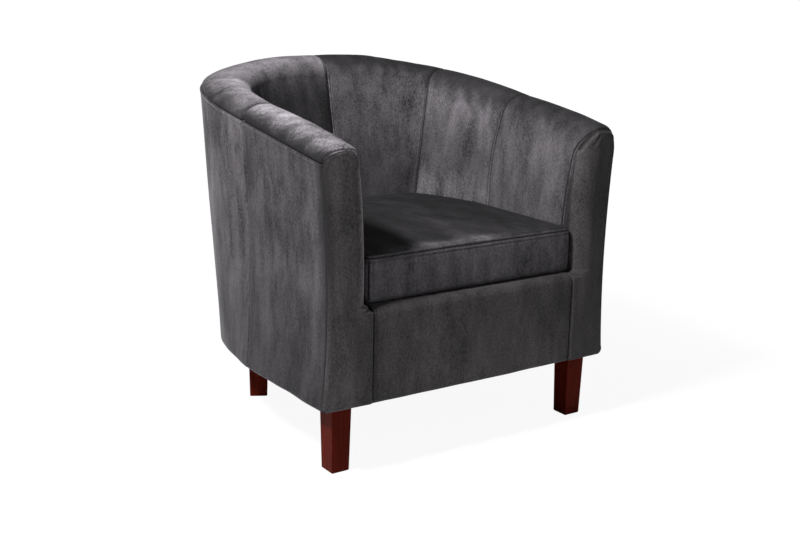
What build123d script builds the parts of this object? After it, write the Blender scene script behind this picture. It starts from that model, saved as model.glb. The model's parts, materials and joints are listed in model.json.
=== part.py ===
from build123d import *
import os
from math import cos, radians, sin, pi

# Tub armchair on four tapered legs, with a loose boxed seat cushion.
# Origin on the floor under the middle of the chair, +Z up, the open front faces -Y.

# Overall sizes of the tub
rim_half_width = 331.0
depth = 640.0
straight_length = 285.0
plan_power = 3.03
leg_height = 130.0

# Height of the outside rim seam at the arm front, at the start of the curve and at the back
rim_front_height = 563.0
rim_turn_height = 602.5
rim_back_height = 658.0

# How far the outside wall draws in below the rim seam
base_inset_side = 5.0
base_inset_back = 34.5
waist_inset = 14.5
waist_height = 354.0

# Rolled rim: thickness at the arms and at the back, rise over the seam, place of the ridge
roll_arm = 86.0
roll_back = 113.0
roll_rise = 28.0
roll_drop_arm = 18.0
roll_drop_back = 11.0
ridge_share = 0.57
roll_shoulder = 0.25
roll_shoulder_rise = 0.72
roll_brow = 0.72
roll_brow_rise = 0.69
seam_edge = 2.0
seam_gap = 0.8

# Inside wall: distance from the rim line at the bottom of the inside cover
inside_arm = 95.0
inside_back = 188.0
inside_bottom = 296.0
inside_bulge = 5.0
padding = 24.0
seam_draw = 4.0
soft_draw = 1.0

# Seams round the inside cover, as a length from the front and as a turn from the back centre
arm_seam = 272.0
wing_seam_angle = 62.0
quarter_angle = 90.0

# Sheets, boards and clearances
shell_thickness = 4.0
clear = 0.3
board = 18.0
rail_thickness = 22.0
top_rail_height = 20.0
top_rail_inset = 10.0
top_rail_clear = 1.5
base_rail_height = 40.0
base_rail_gap = 6.0
seat_rail_height = 60.0
seat_rail_top = 292.0
seat_rail_lap = 4.0
post_half = 24.0
post_angle = 4.0
centre_post_angle = 1.5
post_inset_arm = 22.0
post_inset_back = 40.0
front_padding = 26.0
front_crown = 4.0
front_round = 9.0
edge_knee = 0.29
border_inset = 102.2
border_top = 308.0
arm_front_step = 309.0
arm_front_inset = 94.5
outer_panel_front = 5.0
dust_cover_thickness = 1.0
dust_cover_margin = 2.0

# Legs and their fastening
leg_top = 41.0
leg_foot = 35.5
leg_chamfer = 2.0
front_leg_inset = 55.0
front_leg_set_back = 40.0
rear_leg_wall_angle = 62.75
rear_leg_inset = 105.4
rear_leg_angle = 29.0
bolt_diameter = 8.0
bolt_in_leg = 40.0
bolt_clearance = 0.5
tee_nut_flange = 22.0
tee_nut_sheet = 1.6
tee_nut_barrel = 11.0
tee_nut_depth = 9.0
block_height = 30.0
block_length = 84.0
rear_block = 76.0

# Seat suspension and deck
strap_width = 50.0
strap_thickness = 1.6
strap_gap = 0.2
strap_count_long = 4
strap_pitch_cross = 96.0
strap_count_cross = 3
strap_first_cross = 150.0
strap_front = 28.0
strap_lap = 18.0
deck_front = 30.0
deck_pad_thickness = 12.8
deck_cloth_thickness = 1.6

# Seat cushion
cushion_clear = 3.0
cushion_front = 4.0
cushion_height = 80.0
cushion_crown = 21.0
cushion_bulge = 3.0
cushion_cover = 2.5
crown_shoulder = 10.0
crown_middle = 40.0
crown_top = 85.0
crown_shoulder_share = 0.45
crown_middle_share = 0.85

# Values that follow from the sizes above
front = -depth / 2
curve_depth = depth - straight_length
curve_start = front + straight_length
border_half = rim_half_width - border_inset
arm_front_inner = rim_half_width - arm_front_inset
front_leg_x = rim_half_width - front_leg_inset
front_leg_y = front + front_leg_set_back
frame_bottom = leg_height + dust_cover_thickness
strap_pitch_long = 2 * (rim_half_width - inside_arm) / (strap_count_long + 1)
strap_cross_z = seat_rail_top
strap_long_z = strap_cross_z + strap_thickness + strap_gap
deck_pad_z = strap_long_z + strap_thickness + strap_gap
deck_cloth_z = deck_pad_z + deck_pad_thickness + strap_gap
cushion_bottom_z = deck_cloth_z + deck_cloth_thickness + clear
cushion_top_z = cushion_bottom_z + cushion_height
board_front = front + front_padding + clear
board_back = board_front + board
block_top = frame_bottom + block_height


class Station:
    """One upright cut through the tub wall, square to the rim line in plan."""

    def __init__(self, turn=None, length=None):
        if length is not None:
            self.share = 0.0
            self.point = (rim_half_width, front + length)
            self.out = (1.0, 0.0)
            rise = (rim_turn_height - rim_front_height) / straight_length
            self.rim = rim_front_height + rise * length
        else:
            side = abs(sin(radians(turn))) ** (2 / plan_power)
            back = max(cos(radians(turn)), 0.0) ** (2 / plan_power)
            hand = -1.0 if turn < 0 else 1.0
            self.share = back
            self.point = (hand * rim_half_width * side, curve_start + curve_depth * back)
            slope = Vector(
                hand * side ** (plan_power - 1) / rim_half_width,
                back ** (plan_power - 1) / curve_depth,
            ).normalized()
            self.out = (slope.X, slope.Y)
            start = (rim_turn_height - rim_front_height) / straight_length
            start = start * curve_depth / (rim_back_height - rim_turn_height)
            curve = back * (start + (1 - start) * back)
            self.rim = rim_turn_height + (rim_back_height - rim_turn_height) * curve

    @property
    def plane(self):
        out = Vector(self.out[0], self.out[1], 0)
        return Plane(
            origin=(self.point[0], self.point[1], 0),
            x_dir=out,
            z_dir=out.cross(Vector(0, 0, 1)),
        )

    @property
    def base_inset(self):
        swing = sin(self.share * pi / 2)
        return base_inset_side + (base_inset_back - base_inset_side) * swing

    @property
    def roll(self):
        return roll_arm + (roll_back - roll_arm) * self.share

    @property
    def inside(self):
        return inside_arm + (inside_back - inside_arm) * self.share

    @property
    def post_inset(self):
        return post_inset_arm + (post_inset_back - post_inset_arm) * self.share

    @property
    def drop(self):
        return self.rim - roll_drop_arm - (roll_drop_back - roll_drop_arm) * self.share

    @property
    def rail_top(self):
        return self.rim - seam_edge - seam_gap

    def wall(self, height):
        """Distance of the inside face from the rim line at a height."""
        part = (height - inside_bottom) / (self.drop - inside_bottom)
        lean = self.inside + (self.roll - self.inside) * part
        return lean + 4 * inside_bulge * part * (1 - part)

    def inward(self, inset):
        return (self.point[0] - self.out[0] * inset, self.point[1] - self.out[1] * inset)


def box_section(station, near, far, low, high):
    """Upright rectangle in the wall, from one distance behind the rim line to another."""
    with BuildSketch(station.plane) as section:
        with BuildLine():
            Polyline((-far, low), (-near, low), (-near, high), (-far, high), close=True)
        make_face()
    return section.sketch


def shell_section(station):
    """Thin outside panel: one arc from the base over the waist to the rim seam, doubled."""
    low = station.base_inset
    top = station.rail_top
    with BuildSketch(station.plane) as section:
        with BuildLine():
            ThreePointArc((-low, leg_height), (-waist_inset, waist_height), (0, top))
            Line((0, top), (-shell_thickness, top))
            ThreePointArc(
                (-shell_thickness, top),
                (-waist_inset - shell_thickness, waist_height),
                (-low - shell_thickness, leg_height),
            )
            Line((-low - shell_thickness, leg_height), (-low, leg_height))
        make_face()
    return section.sketch


def padded_section(station, draw):
    """Padded inside cover: over the rolled rim from the outer seam and down to the deck."""
    rim = station.rim
    roll = station.roll - draw
    foot = station.inside - draw
    drop = station.drop
    middle = (drop + inside_bottom) / 2
    ridge = roll * ridge_share
    ridge_height = rim + roll_rise - draw
    rise = roll_rise - draw
    shoulder = (-ridge * roll_shoulder, rim + rise * roll_shoulder_rise)
    brow = (-ridge - (roll - ridge) * roll_brow, drop + (ridge_height - drop) * roll_brow_rise)
    belly = station.wall(middle) - draw
    with BuildSketch(station.plane) as section:
        with BuildLine():
            ThreePointArc((0, rim), shoulder, (-ridge, ridge_height))
            ThreePointArc((-ridge, ridge_height), brow, (-roll, drop))
            ThreePointArc((-roll, drop), (-belly, middle), (-foot, inside_bottom))
            Polyline(
                (-foot, inside_bottom),
                (-station.inside + padding, inside_bottom),
                (-station.roll + padding, rim - seam_edge),
                (0, rim - seam_edge),
                (0, rim),
            )
        make_face()
    return section.sketch


def tub_outline(plane, front_line, inset):
    """Plan of the tub drawn in from the rim line: straight sides, corner arcs, back arc."""
    steps = [Station(turn=quarter_angle * k / 9).inward(inset(Station(turn=quarter_angle * k / 9)))
             for k in range(10)]
    right = [steps[9], steps[8], steps[7], steps[6], steps[5], steps[4], steps[3]]
    left = [(-x, y) for x, y in right]
    half = right[0][0]
    with BuildSketch(plane) as outline:
        with BuildLine():
            Line((-half, front_line), (half, front_line))
            Line((half, front_line), right[0])
            ThreePointArc(right[0], right[1], right[2])
            ThreePointArc(right[2], right[3], right[4])
            ThreePointArc(right[4], right[5], right[6])
            ThreePointArc(right[6], steps[0], left[6])
            ThreePointArc(left[6], left[5], left[4])
            ThreePointArc(left[4], left[3], left[2])
            ThreePointArc(left[2], left[1], left[0])
            Line(left[0], (-half, front_line))
        make_face()
    return outline.sketch


def cushion_outline(height, grow):
    """Plan of the seat cushion at a height, a little inside the walls, grown or shrunk."""
    level = min(height, cushion_top_z)
    plane = Plane.XY.offset(height)
    return tub_outline(
        plane,
        front + cushion_front - grow,
        lambda station: station.wall(level) + cushion_clear + cushion_bulge - grow,
    )


os.makedirs("parts", exist_ok=True)

arm_start = front_padding + clear
arm_cut = Station(length=arm_seam)
turn_cut = Station(turn=quarter_angle)
wing_cut = Station(turn=wing_seam_angle)
centre_cut = Station(turn=0.0)

# Inside cover, right half: arm, wing and back panels, drawn in at the sewn seams
with BuildPart() as right_arm_inner:
    loft(
        sections=[
            padded_section(Station(length=arm_start), soft_draw),
            padded_section(Station(length=(arm_start + arm_seam) / 2), 0.0),
            padded_section(arm_cut, seam_draw),
        ]
    )
right_arm_inner.part.label = "right arm inside panel"
export_step(right_arm_inner.part, "parts/right_arm_inner.step")

wing_span = quarter_angle - wing_seam_angle
with BuildPart() as right_wing_inner:
    loft(
        sections=[
            padded_section(arm_cut, seam_draw),
            padded_section(Station(turn=quarter_angle - wing_span * 0.12), soft_draw),
            padded_section(Station(turn=quarter_angle - wing_span * 0.38), 0.0),
            padded_section(Station(turn=quarter_angle - wing_span * 0.70), soft_draw),
            padded_section(wing_cut, seam_draw),
        ]
    )
right_wing_inner.part.label = "right wing inside panel"
export_step(right_wing_inner.part, "parts/right_wing_inner.step")

with BuildPart() as right_back_inner:
    loft(
        sections=[
            padded_section(wing_cut, seam_draw),
            padded_section(Station(turn=wing_seam_angle * 0.77), soft_draw),
            padded_section(Station(turn=wing_seam_angle * 0.52), 0.0),
            padded_section(Station(turn=wing_seam_angle * 0.26), soft_draw),
            padded_section(centre_cut, seam_draw),
        ]
    )
right_back_inner.part.label = "right back inside panel"
export_step(right_back_inner.part, "parts/right_back_inner.step")

# Inside cover, left half
with BuildPart() as left_arm_inner:
    mirror(right_arm_inner.part, about=Plane.YZ)
left_arm_inner.part.label = "left arm inside panel"
export_step(left_arm_inner.part, "parts/left_arm_inner.step")

with BuildPart() as left_wing_inner:
    mirror(right_wing_inner.part, about=Plane.YZ)
left_wing_inner.part.label = "left wing inside panel"
export_step(left_wing_inner.part, "parts/left_wing_inner.step")

with BuildPart() as left_back_inner:
    mirror(right_back_inner.part, about=Plane.YZ)
left_back_inner.part.label = "left back inside panel"
export_step(left_back_inner.part, "parts/left_back_inner.step")

# Outside panels
with BuildPart() as right_outer_panel:
    loft(
        sections=[
            shell_section(Station(length=outer_panel_front)),
            shell_section(Station(length=straight_length)),
        ]
    )
right_outer_panel.part.label = "right outside arm panel"
export_step(right_outer_panel.part, "parts/right_outer_panel.step")

with BuildPart() as left_outer_panel:
    mirror(right_outer_panel.part, about=Plane.YZ)
left_outer_panel.part.label = "left outside arm panel"
export_step(left_outer_panel.part, "parts/left_outer_panel.step")

back_turns = [quarter_angle * k / 9 for k in range(9, -10, -1)]
with BuildPart() as outer_back_panel:
    loft(sections=[shell_section(Station(turn=turn)) for turn in back_turns])
outer_back_panel.part.label = "outside back panel"
export_step(outer_back_panel.part, "parts/outer_back_panel.step")

# Arm fronts: arched padded caps with a rounded front edge
front_cut = Station(length=0.0)


def cap_section(set_back, draw):
    """Arched outline of the arm front, drawn in all round where the edge is rounded."""
    rim = front_cut.rim
    edge = shell_thickness + clear + draw
    ridge = front_cut.roll * ridge_share
    base_x = rim_half_width - front_cut.base_inset - edge
    waist_x = rim_half_width - waist_inset - edge
    rim_x = rim_half_width - edge
    ridge_x = rim_half_width - ridge
    inner_x = rim_half_width - front_cut.roll + draw
    top = rim + roll_rise - draw
    drop = front_cut.drop
    seam_x = border_half + clear
    shoulder = (rim_x - (rim_x - ridge_x) * roll_shoulder, rim + (top - rim) * roll_shoulder_rise)
    brow = (ridge_x - (ridge_x - inner_x) * roll_brow, drop + (top - drop) * roll_brow_rise)
    plane = Plane(origin=(0, front + set_back, 0), x_dir=(1, 0, 0), z_dir=(0, -1, 0))
    with BuildSketch(plane) as section:
        with BuildLine():
            ThreePointArc((base_x, leg_height), (waist_x, waist_height), (rim_x, rim))
            ThreePointArc((rim_x, rim), shoulder, (ridge_x, top))
            ThreePointArc((ridge_x, top), brow, (inner_x, drop))
            Polyline(
                (inner_x, drop),
                (arm_front_inner + draw, arm_front_step),
                (seam_x, border_top),
                (seam_x, leg_height),
                (base_x, leg_height),
            )
        make_face()
    return section.sketch


with BuildPart() as right_arm_front:
    loft(
        sections=[
            cap_section(0.0, front_round),
            cap_section(front_round * edge_knee, front_round * edge_knee),
            cap_section(front_round, 0.0),
        ]
    )
    extrude(cap_section(front_round, 0.0), amount=front_round - front_padding)
right_arm_front.part.label = "right arm front"
export_step(right_arm_front.part, "parts/right_arm_front.step")

with BuildPart() as left_arm_front:
    mirror(right_arm_front.part, about=Plane.YZ)
left_arm_front.part.label = "left arm front"
export_step(left_arm_front.part, "parts/left_arm_front.step")

# Front border under the cushion, gently crowned, with a rounded top edge
with BuildPart() as front_border:
    with BuildSketch(Plane.XY.offset(leg_height)):
        with BuildLine():
            ThreePointArc(
                (-border_half, front + front_crown), (0, front), (border_half, front + front_crown)
            )
            Polyline(
                (border_half, front + front_crown),
                (border_half, front + front_padding),
                (-border_half, front + front_padding),
                (-border_half, front + front_crown),
            )
        make_face()
    extrude(amount=border_top - leg_height)
    border_edges = front_border.faces().sort_by(Axis.Z)[-1].edges()
    fillet(border_edges.sort_by(Axis.Y)[0], radius=front_round)
front_border.part.label = "front border"
export_step(front_border.part, "parts/front_border.step")

# Top rails under the rolled rim
def top_rail_section(station):
    """Flat board under the roll, following the slope of the rim."""
    high = station.rail_top - top_rail_clear
    return box_section(
        station,
        top_rail_inset,
        station.roll - padding - 2 * top_rail_clear,
        high - top_rail_height,
        high,
    )


with BuildPart() as right_arm_rail:
    loft(
        sections=[
            top_rail_section(Station(length=arm_start)),
            top_rail_section(Station(length=straight_length)),
        ]
    )
right_arm_rail.part.label = "right arm top rail"
export_step(right_arm_rail.part, "parts/right_arm_rail.step")

with BuildPart() as left_arm_rail:
    mirror(right_arm_rail.part, about=Plane.YZ)
left_arm_rail.part.label = "left arm top rail"
export_step(left_arm_rail.part, "parts/left_arm_rail.step")

with BuildPart() as back_top_rail:
    loft(sections=[top_rail_section(Station(turn=turn)) for turn in back_turns])
back_top_rail.part.label = "curved back top rail"
export_step(back_top_rail.part, "parts/back_top_rail.step")

# Base rails under the outside panels
def base_rail_section(station):
    """Upright board just inside the foot of the outside panel."""
    near = station.base_inset + shell_thickness + base_rail_gap
    return box_section(
        station, near, near + rail_thickness, frame_bottom, frame_bottom + base_rail_height
    )


with BuildPart() as right_base_rail:
    loft(
        sections=[
            base_rail_section(Station(length=arm_start)),
            base_rail_section(Station(length=straight_length)),
        ]
    )
right_base_rail.part.label = "right base rail"
export_step(right_base_rail.part, "parts/right_base_rail.step")

with BuildPart() as left_base_rail:
    mirror(right_base_rail.part, about=Plane.YZ)
left_base_rail.part.label = "left base rail"
export_step(left_base_rail.part, "parts/left_base_rail.step")

with BuildPart() as rear_base_rail:
    loft(sections=[base_rail_section(Station(turn=turn)) for turn in back_turns])
rear_base_rail.part.label = "curved rear base rail"
export_step(rear_base_rail.part, "parts/rear_base_rail.step")

# Seat rails that carry the straps
def seat_rail_section(station):
    """Upright board under the foot of the inside cover."""
    far = station.inside - seat_rail_lap
    return box_section(
        station, far - rail_thickness, far, seat_rail_top - seat_rail_height, seat_rail_top
    )


with BuildPart() as right_seat_rail:
    loft(
        sections=[
            seat_rail_section(Station(length=front_padding + board + 2 * clear)),
            seat_rail_section(Station(length=straight_length)),
        ]
    )
right_seat_rail.part.label = "right seat rail"
export_step(right_seat_rail.part, "parts/right_seat_rail.step")

with BuildPart() as left_seat_rail:
    mirror(right_seat_rail.part, about=Plane.YZ)
left_seat_rail.part.label = "left seat rail"
export_step(left_seat_rail.part, "parts/left_seat_rail.step")

with BuildPart() as rear_seat_rail:
    loft(sections=[seat_rail_section(Station(turn=turn)) for turn in back_turns], ruled=True)
rear_seat_rail.part.label = "curved rear seat rail"
export_step(rear_seat_rail.part, "parts/rear_seat_rail.step")

# Front rail and arm front boards
with BuildPart() as front_rail:
    with BuildSketch(Plane.XY.offset(frame_bottom)):
        with Locations((0, (board_front + board_back) / 2)):
            Rectangle(2 * border_half, board)
    extrude(amount=seat_rail_top - frame_bottom)
front_rail.part.label = "front rail"
export_step(front_rail.part, "parts/front_rail.step")

board_plane = Plane(origin=(0, board_front, 0), x_dir=(1, 0, 0), z_dir=(0, -1, 0))
arm_cap_cut = Station(length=arm_start)
with BuildPart() as right_arm_board:
    with BuildSketch(board_plane):
        with BuildLine():
            board_low = block_top + tee_nut_sheet + clear
            board_high = arm_cap_cut.rail_top - top_rail_height - top_rail_clear - clear
            skin = shell_thickness + 2 * clear
            waist_edge = rim_half_width - waist_inset - skin
            low_edge = rim_half_width - arm_cap_cut.base_inset - base_rail_gap - rail_thickness - skin
            rail_edge = frame_bottom + base_rail_height + clear
            pad_foot = rim_half_width - arm_cap_cut.inside + padding + clear
            pad_top = rim_half_width - arm_cap_cut.roll + padding + clear
            Polyline(
                (border_half + clear, board_low),
                (low_edge, board_low),
                (low_edge, rail_edge),
                (waist_edge, rail_edge),
                (waist_edge, board_high),
                (pad_top, board_high),
                (pad_foot, seat_rail_top),
                (border_half + clear, seat_rail_top),
                close=True,
            )
        make_face()
    extrude(amount=-board)
right_arm_board.part.label = "right arm front board"
export_step(right_arm_board.part, "parts/right_arm_board.step")

with BuildPart() as left_arm_board:
    mirror(right_arm_board.part, about=Plane.YZ)
left_arm_board.part.label = "left arm front board"
export_step(left_arm_board.part, "parts/left_arm_board.step")

# Posts between the base rails and the top rails
def post_section(station):
    """Upright post in the wall, standing on the base rail and carrying the top rail."""
    return box_section(
        station,
        station.post_inset,
        station.post_inset + rail_thickness,
        frame_bottom + base_rail_height,
        station.rail_top - top_rail_height - top_rail_clear - clear,
    )


with BuildPart() as right_arm_post:
    loft(
        sections=[
            post_section(Station(length=straight_length - 2 * post_half)),
            post_section(Station(length=straight_length)),
        ]
    )
right_arm_post.part.label = "right arm post"
export_step(right_arm_post.part, "parts/right_arm_post.step")

with BuildPart() as left_arm_post:
    mirror(right_arm_post.part, about=Plane.YZ)
left_arm_post.part.label = "left arm post"
export_step(left_arm_post.part, "parts/left_arm_post.step")

with BuildPart() as right_back_post:
    loft(
        sections=[
            post_section(Station(turn=wing_seam_angle + post_angle)),
            post_section(Station(turn=wing_seam_angle - post_angle)),
        ]
    )
right_back_post.part.label = "right back post"
export_step(right_back_post.part, "parts/right_back_post.step")

with BuildPart() as left_back_post:
    mirror(right_back_post.part, about=Plane.YZ)
left_back_post.part.label = "left back post"
export_step(left_back_post.part, "parts/left_back_post.step")

with BuildPart() as centre_back_post:
    loft(
        sections=[
            post_section(Station(turn=centre_post_angle)),
            post_section(centre_cut),
            post_section(Station(turn=-centre_post_angle)),
        ]
    )
centre_back_post.part.label = "centre back post"
export_step(centre_back_post.part, "parts/centre_back_post.step")

# Corner blocks over the legs, bored for the tee nuts
block_outer = rim_half_width - base_inset_side - shell_thickness - base_rail_gap - rail_thickness
with BuildPart() as front_right_block:
    with BuildSketch(Plane.XY.offset(frame_bottom)):
        with BuildLine():
            Polyline(
                (border_half + clear, board_front),
                (block_outer - clear, board_front),
                (block_outer - clear, board_front + block_length),
                (border_half + clear, board_front + board),
                close=True,
            )
        make_face()
    extrude(amount=block_height)
    with BuildSketch(Plane.XY.offset(frame_bottom)):
        with Locations((front_leg_x, front_leg_y)):
            Circle(tee_nut_barrel / 2 + clear)
    extrude(amount=block_height, mode=Mode.SUBTRACT)
front_right_block.part.label = "front right corner block"
export_step(front_right_block.part, "parts/front_right_block.step")

with BuildPart() as front_left_block:
    mirror(front_right_block.part, about=Plane.YZ)
front_left_block.part.label = "front left corner block"
export_step(front_left_block.part, "parts/front_left_block.step")

rear_leg_x, rear_leg_y = Station(turn=rear_leg_wall_angle).inward(rear_leg_inset)
rear_leg_out = Vector(cos(radians(rear_leg_angle)), sin(radians(rear_leg_angle)), 0)
rear_leg_plane = Plane(
    origin=(rear_leg_x, rear_leg_y, 0), x_dir=rear_leg_out, z_dir=(0, 0, 1)
)
with BuildPart() as rear_right_block:
    with BuildSketch(rear_leg_plane.offset(frame_bottom)):
        Rectangle(rear_block, rear_block)
        chamfer(vertices().sort_by(Axis.X)[:1], length=rail_thickness)
        Circle(tee_nut_barrel / 2 + clear, mode=Mode.SUBTRACT)
    extrude(amount=block_height)
rear_right_block.part.label = "rear right corner block"
export_step(rear_right_block.part, "parts/rear_right_block.step")

with BuildPart() as rear_left_block:
    mirror(rear_right_block.part, about=Plane.YZ)
rear_left_block.part.label = "rear left corner block"
export_step(rear_left_block.part, "parts/rear_left_block.step")

# Tapered square legs, bored for the hanger bolts
front_leg_plane = Plane(origin=(front_leg_x, front_leg_y, 0))
bolt_hole = bolt_diameter / 2 + clear
with BuildPart() as front_right_leg:
    with BuildSketch(front_leg_plane):
        Rectangle(leg_foot, leg_foot)
    with BuildSketch(front_leg_plane.offset(leg_height)):
        Rectangle(leg_top, leg_top)
    loft(ruled=True)
    chamfer(front_right_leg.edges().group_by(Axis.Z)[0], length=leg_chamfer)
    with BuildSketch(front_leg_plane.offset(leg_height)):
        Circle(bolt_hole)
    extrude(amount=-bolt_in_leg - bolt_clearance, mode=Mode.SUBTRACT)
front_right_leg.part.label = "front right leg"
export_step(front_right_leg.part, "parts/front_right_leg.step")

with BuildPart() as front_left_leg:
    mirror(front_right_leg.part, about=Plane.YZ)
front_left_leg.part.label = "front left leg"
export_step(front_left_leg.part, "parts/front_left_leg.step")

with BuildPart() as rear_right_leg:
    with BuildSketch(rear_leg_plane):
        Rectangle(leg_foot, leg_foot)
    with BuildSketch(rear_leg_plane.offset(leg_height)):
        Rectangle(leg_top, leg_top)
    loft(ruled=True)
    chamfer(rear_right_leg.edges().group_by(Axis.Z)[0], length=leg_chamfer)
    with BuildSketch(rear_leg_plane.offset(leg_height)):
        Circle(bolt_hole)
    extrude(amount=-bolt_in_leg - bolt_clearance, mode=Mode.SUBTRACT)
rear_right_leg.part.label = "rear right leg"
export_step(rear_right_leg.part, "parts/rear_right_leg.step")

with BuildPart() as rear_left_leg:
    mirror(rear_right_leg.part, about=Plane.YZ)
rear_left_leg.part.label = "rear left leg"
export_step(rear_left_leg.part, "parts/rear_left_leg.step")

# Hanger bolts and tee nuts, four alike
leg_points = [
    (front_leg_x, front_leg_y),
    (-front_leg_x, front_leg_y),
    (rear_leg_x, rear_leg_y),
    (-rear_leg_x, rear_leg_y),
]
bolt_top = block_top - tee_nut_sheet - clear
with BuildPart() as hanger_bolts:
    with BuildSketch(Plane.XY.offset(leg_height - bolt_in_leg)):
        with Locations(*leg_points):
            Circle(bolt_diameter / 2)
    extrude(amount=bolt_top - leg_height + bolt_in_leg)
    chamfer(hanger_bolts.edges().group_by(Axis.Z)[-1], length=clear * 2)
hanger_bolts.part.label = "hanger bolts"
export_step(hanger_bolts.part, "parts/hanger_bolts.step")

with BuildPart() as tee_nuts:
    with BuildSketch(Plane.XY.offset(block_top)):
        with Locations(*leg_points):
            Circle(tee_nut_flange / 2)
    extrude(amount=tee_nut_sheet)
    with BuildSketch(Plane.XY.offset(block_top)):
        with Locations(*leg_points):
            Circle(tee_nut_barrel / 2)
    extrude(amount=-tee_nut_depth)
    with BuildSketch(Plane.XY.offset(block_top - tee_nut_depth)):
        with Locations(*leg_points):
            Circle(bolt_hole)
    extrude(amount=tee_nut_depth + tee_nut_sheet, mode=Mode.SUBTRACT)
tee_nuts.part.label = "tee nuts"
export_step(tee_nuts.part, "parts/tee_nuts.step")

# Seat straps, cut to length on the seat rails
strap_reach = 2 * rim_half_width
with BuildPart() as seat_straps_cross:
    with BuildSketch(Plane.XY.offset(strap_cross_z)):
        with Locations((0, front + strap_first_cross + strap_pitch_cross * (strap_count_cross - 1) / 2)):
            with GridLocations(0, strap_pitch_cross, 1, strap_count_cross):
                Rectangle(strap_reach, strap_width)
    extrude(amount=strap_thickness)
    cross_trim = tub_outline(
        Plane.XY.offset(strap_cross_z),
        front + strap_front,
        lambda station: station.inside - seat_rail_lap - strap_lap,
    )
    extrude(cross_trim, amount=strap_thickness, mode=Mode.INTERSECT)
seat_straps_cross.part.label = "seat straps across"
export_step(seat_straps_cross.part, "parts/seat_straps_cross.step")

with BuildPart() as seat_straps_long:
    with BuildSketch(Plane.XY.offset(strap_long_z)):
        with GridLocations(strap_pitch_long, 0, strap_count_long, 1):
            Rectangle(strap_width, 2 * depth)
    extrude(amount=strap_thickness)
    long_trim = tub_outline(
        Plane.XY.offset(strap_long_z),
        front + strap_front,
        lambda station: station.inside - seat_rail_lap - strap_lap,
    )
    extrude(long_trim, amount=strap_thickness, mode=Mode.INTERSECT)
seat_straps_long.part.label = "seat straps lengthways"
export_step(seat_straps_long.part, "parts/seat_straps_long.step")

# Deck pad and deck cloth under the cushion
def deck_outline(height):
    """Plan of the deck, just inside the inside cover."""
    return tub_outline(
        Plane.XY.offset(height), front + deck_front, lambda station: station.inside + cushion_clear
    )


with BuildPart() as deck_pad:
    extrude(deck_outline(deck_pad_z), amount=deck_pad_thickness)
deck_pad.part.label = "deck pad"
export_step(deck_pad.part, "parts/deck_pad.step")

with BuildPart() as deck_cloth:
    extrude(deck_outline(deck_cloth_z), amount=deck_cloth_thickness)
deck_cloth.part.label = "deck cloth"
export_step(deck_cloth.part, "parts/deck_cloth.step")

# Dust cover under the frame, open at the leg bolts
with BuildPart() as dust_cover:
    dust_outline = tub_outline(
        Plane.XY.offset(leg_height),
        board_front,
        lambda station: station.base_inset + shell_thickness + dust_cover_margin,
    )
    extrude(dust_outline, amount=dust_cover_thickness)
    with BuildSketch(Plane.XY.offset(leg_height)):
        with Locations(*leg_points):
            Circle(bolt_hole + bolt_clearance)
    extrude(amount=dust_cover_thickness, mode=Mode.SUBTRACT)
dust_cover.part.label = "dust cover"
export_step(dust_cover.part, "parts/dust_cover.step")

# Seat cushion: foam core inside a boxed cover with a crowned top
middle_z = (cushion_bottom_z + cushion_top_z) / 2
with BuildPart() as cushion_bottom:
    extrude(cushion_outline(cushion_bottom_z, 0.0), amount=cushion_cover)
cushion_bottom.part.label = "cushion underside"
export_step(cushion_bottom.part, "parts/cushion_bottom.step")

border_low = cushion_bottom_z + cushion_cover
with BuildPart() as cushion_border:
    loft(
        sections=[
            cushion_outline(border_low, 0.0),
            cushion_outline(middle_z, cushion_bulge),
            cushion_outline(cushion_top_z, 0.0),
        ]
    )
    loft(
        sections=[
            cushion_outline(border_low, -cushion_cover),
            cushion_outline(middle_z, cushion_bulge - cushion_cover),
            cushion_outline(cushion_top_z, -cushion_cover),
        ],
        mode=Mode.SUBTRACT,
    )
cushion_border.part.label = "cushion boxing border"
export_step(cushion_border.part, "parts/cushion_border.step")

foam_skin = cushion_cover + clear
with BuildPart() as cushion_foam:
    loft(
        sections=[
            cushion_outline(border_low, -foam_skin),
            cushion_outline(middle_z, cushion_bulge - foam_skin),
            cushion_outline(cushion_top_z, -foam_skin),
        ]
    )
cushion_foam.part.label = "cushion foam"
export_step(cushion_foam.part, "parts/cushion_foam.step")

with BuildPart() as cushion_top:
    loft(
        sections=[
            cushion_outline(cushion_top_z, 0.0),
            cushion_outline(cushion_top_z + cushion_crown * crown_shoulder_share, -crown_shoulder),
            cushion_outline(cushion_top_z + cushion_crown * crown_middle_share, -crown_middle),
            cushion_outline(cushion_top_z + cushion_crown, -crown_top),
        ]
    )
cushion_top.part.label = "cushion crowned top"
export_step(cushion_top.part, "parts/cushion_top.step")
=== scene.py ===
"""Looks of a velvet tub armchair: padded panels, boxed cushion, stitching, wood and studio."""

import json
import logging
import math
from dataclasses import dataclass, field
from enum import Enum

import bmesh
import bpy
import numpy as np
from mathutils import Matrix

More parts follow.
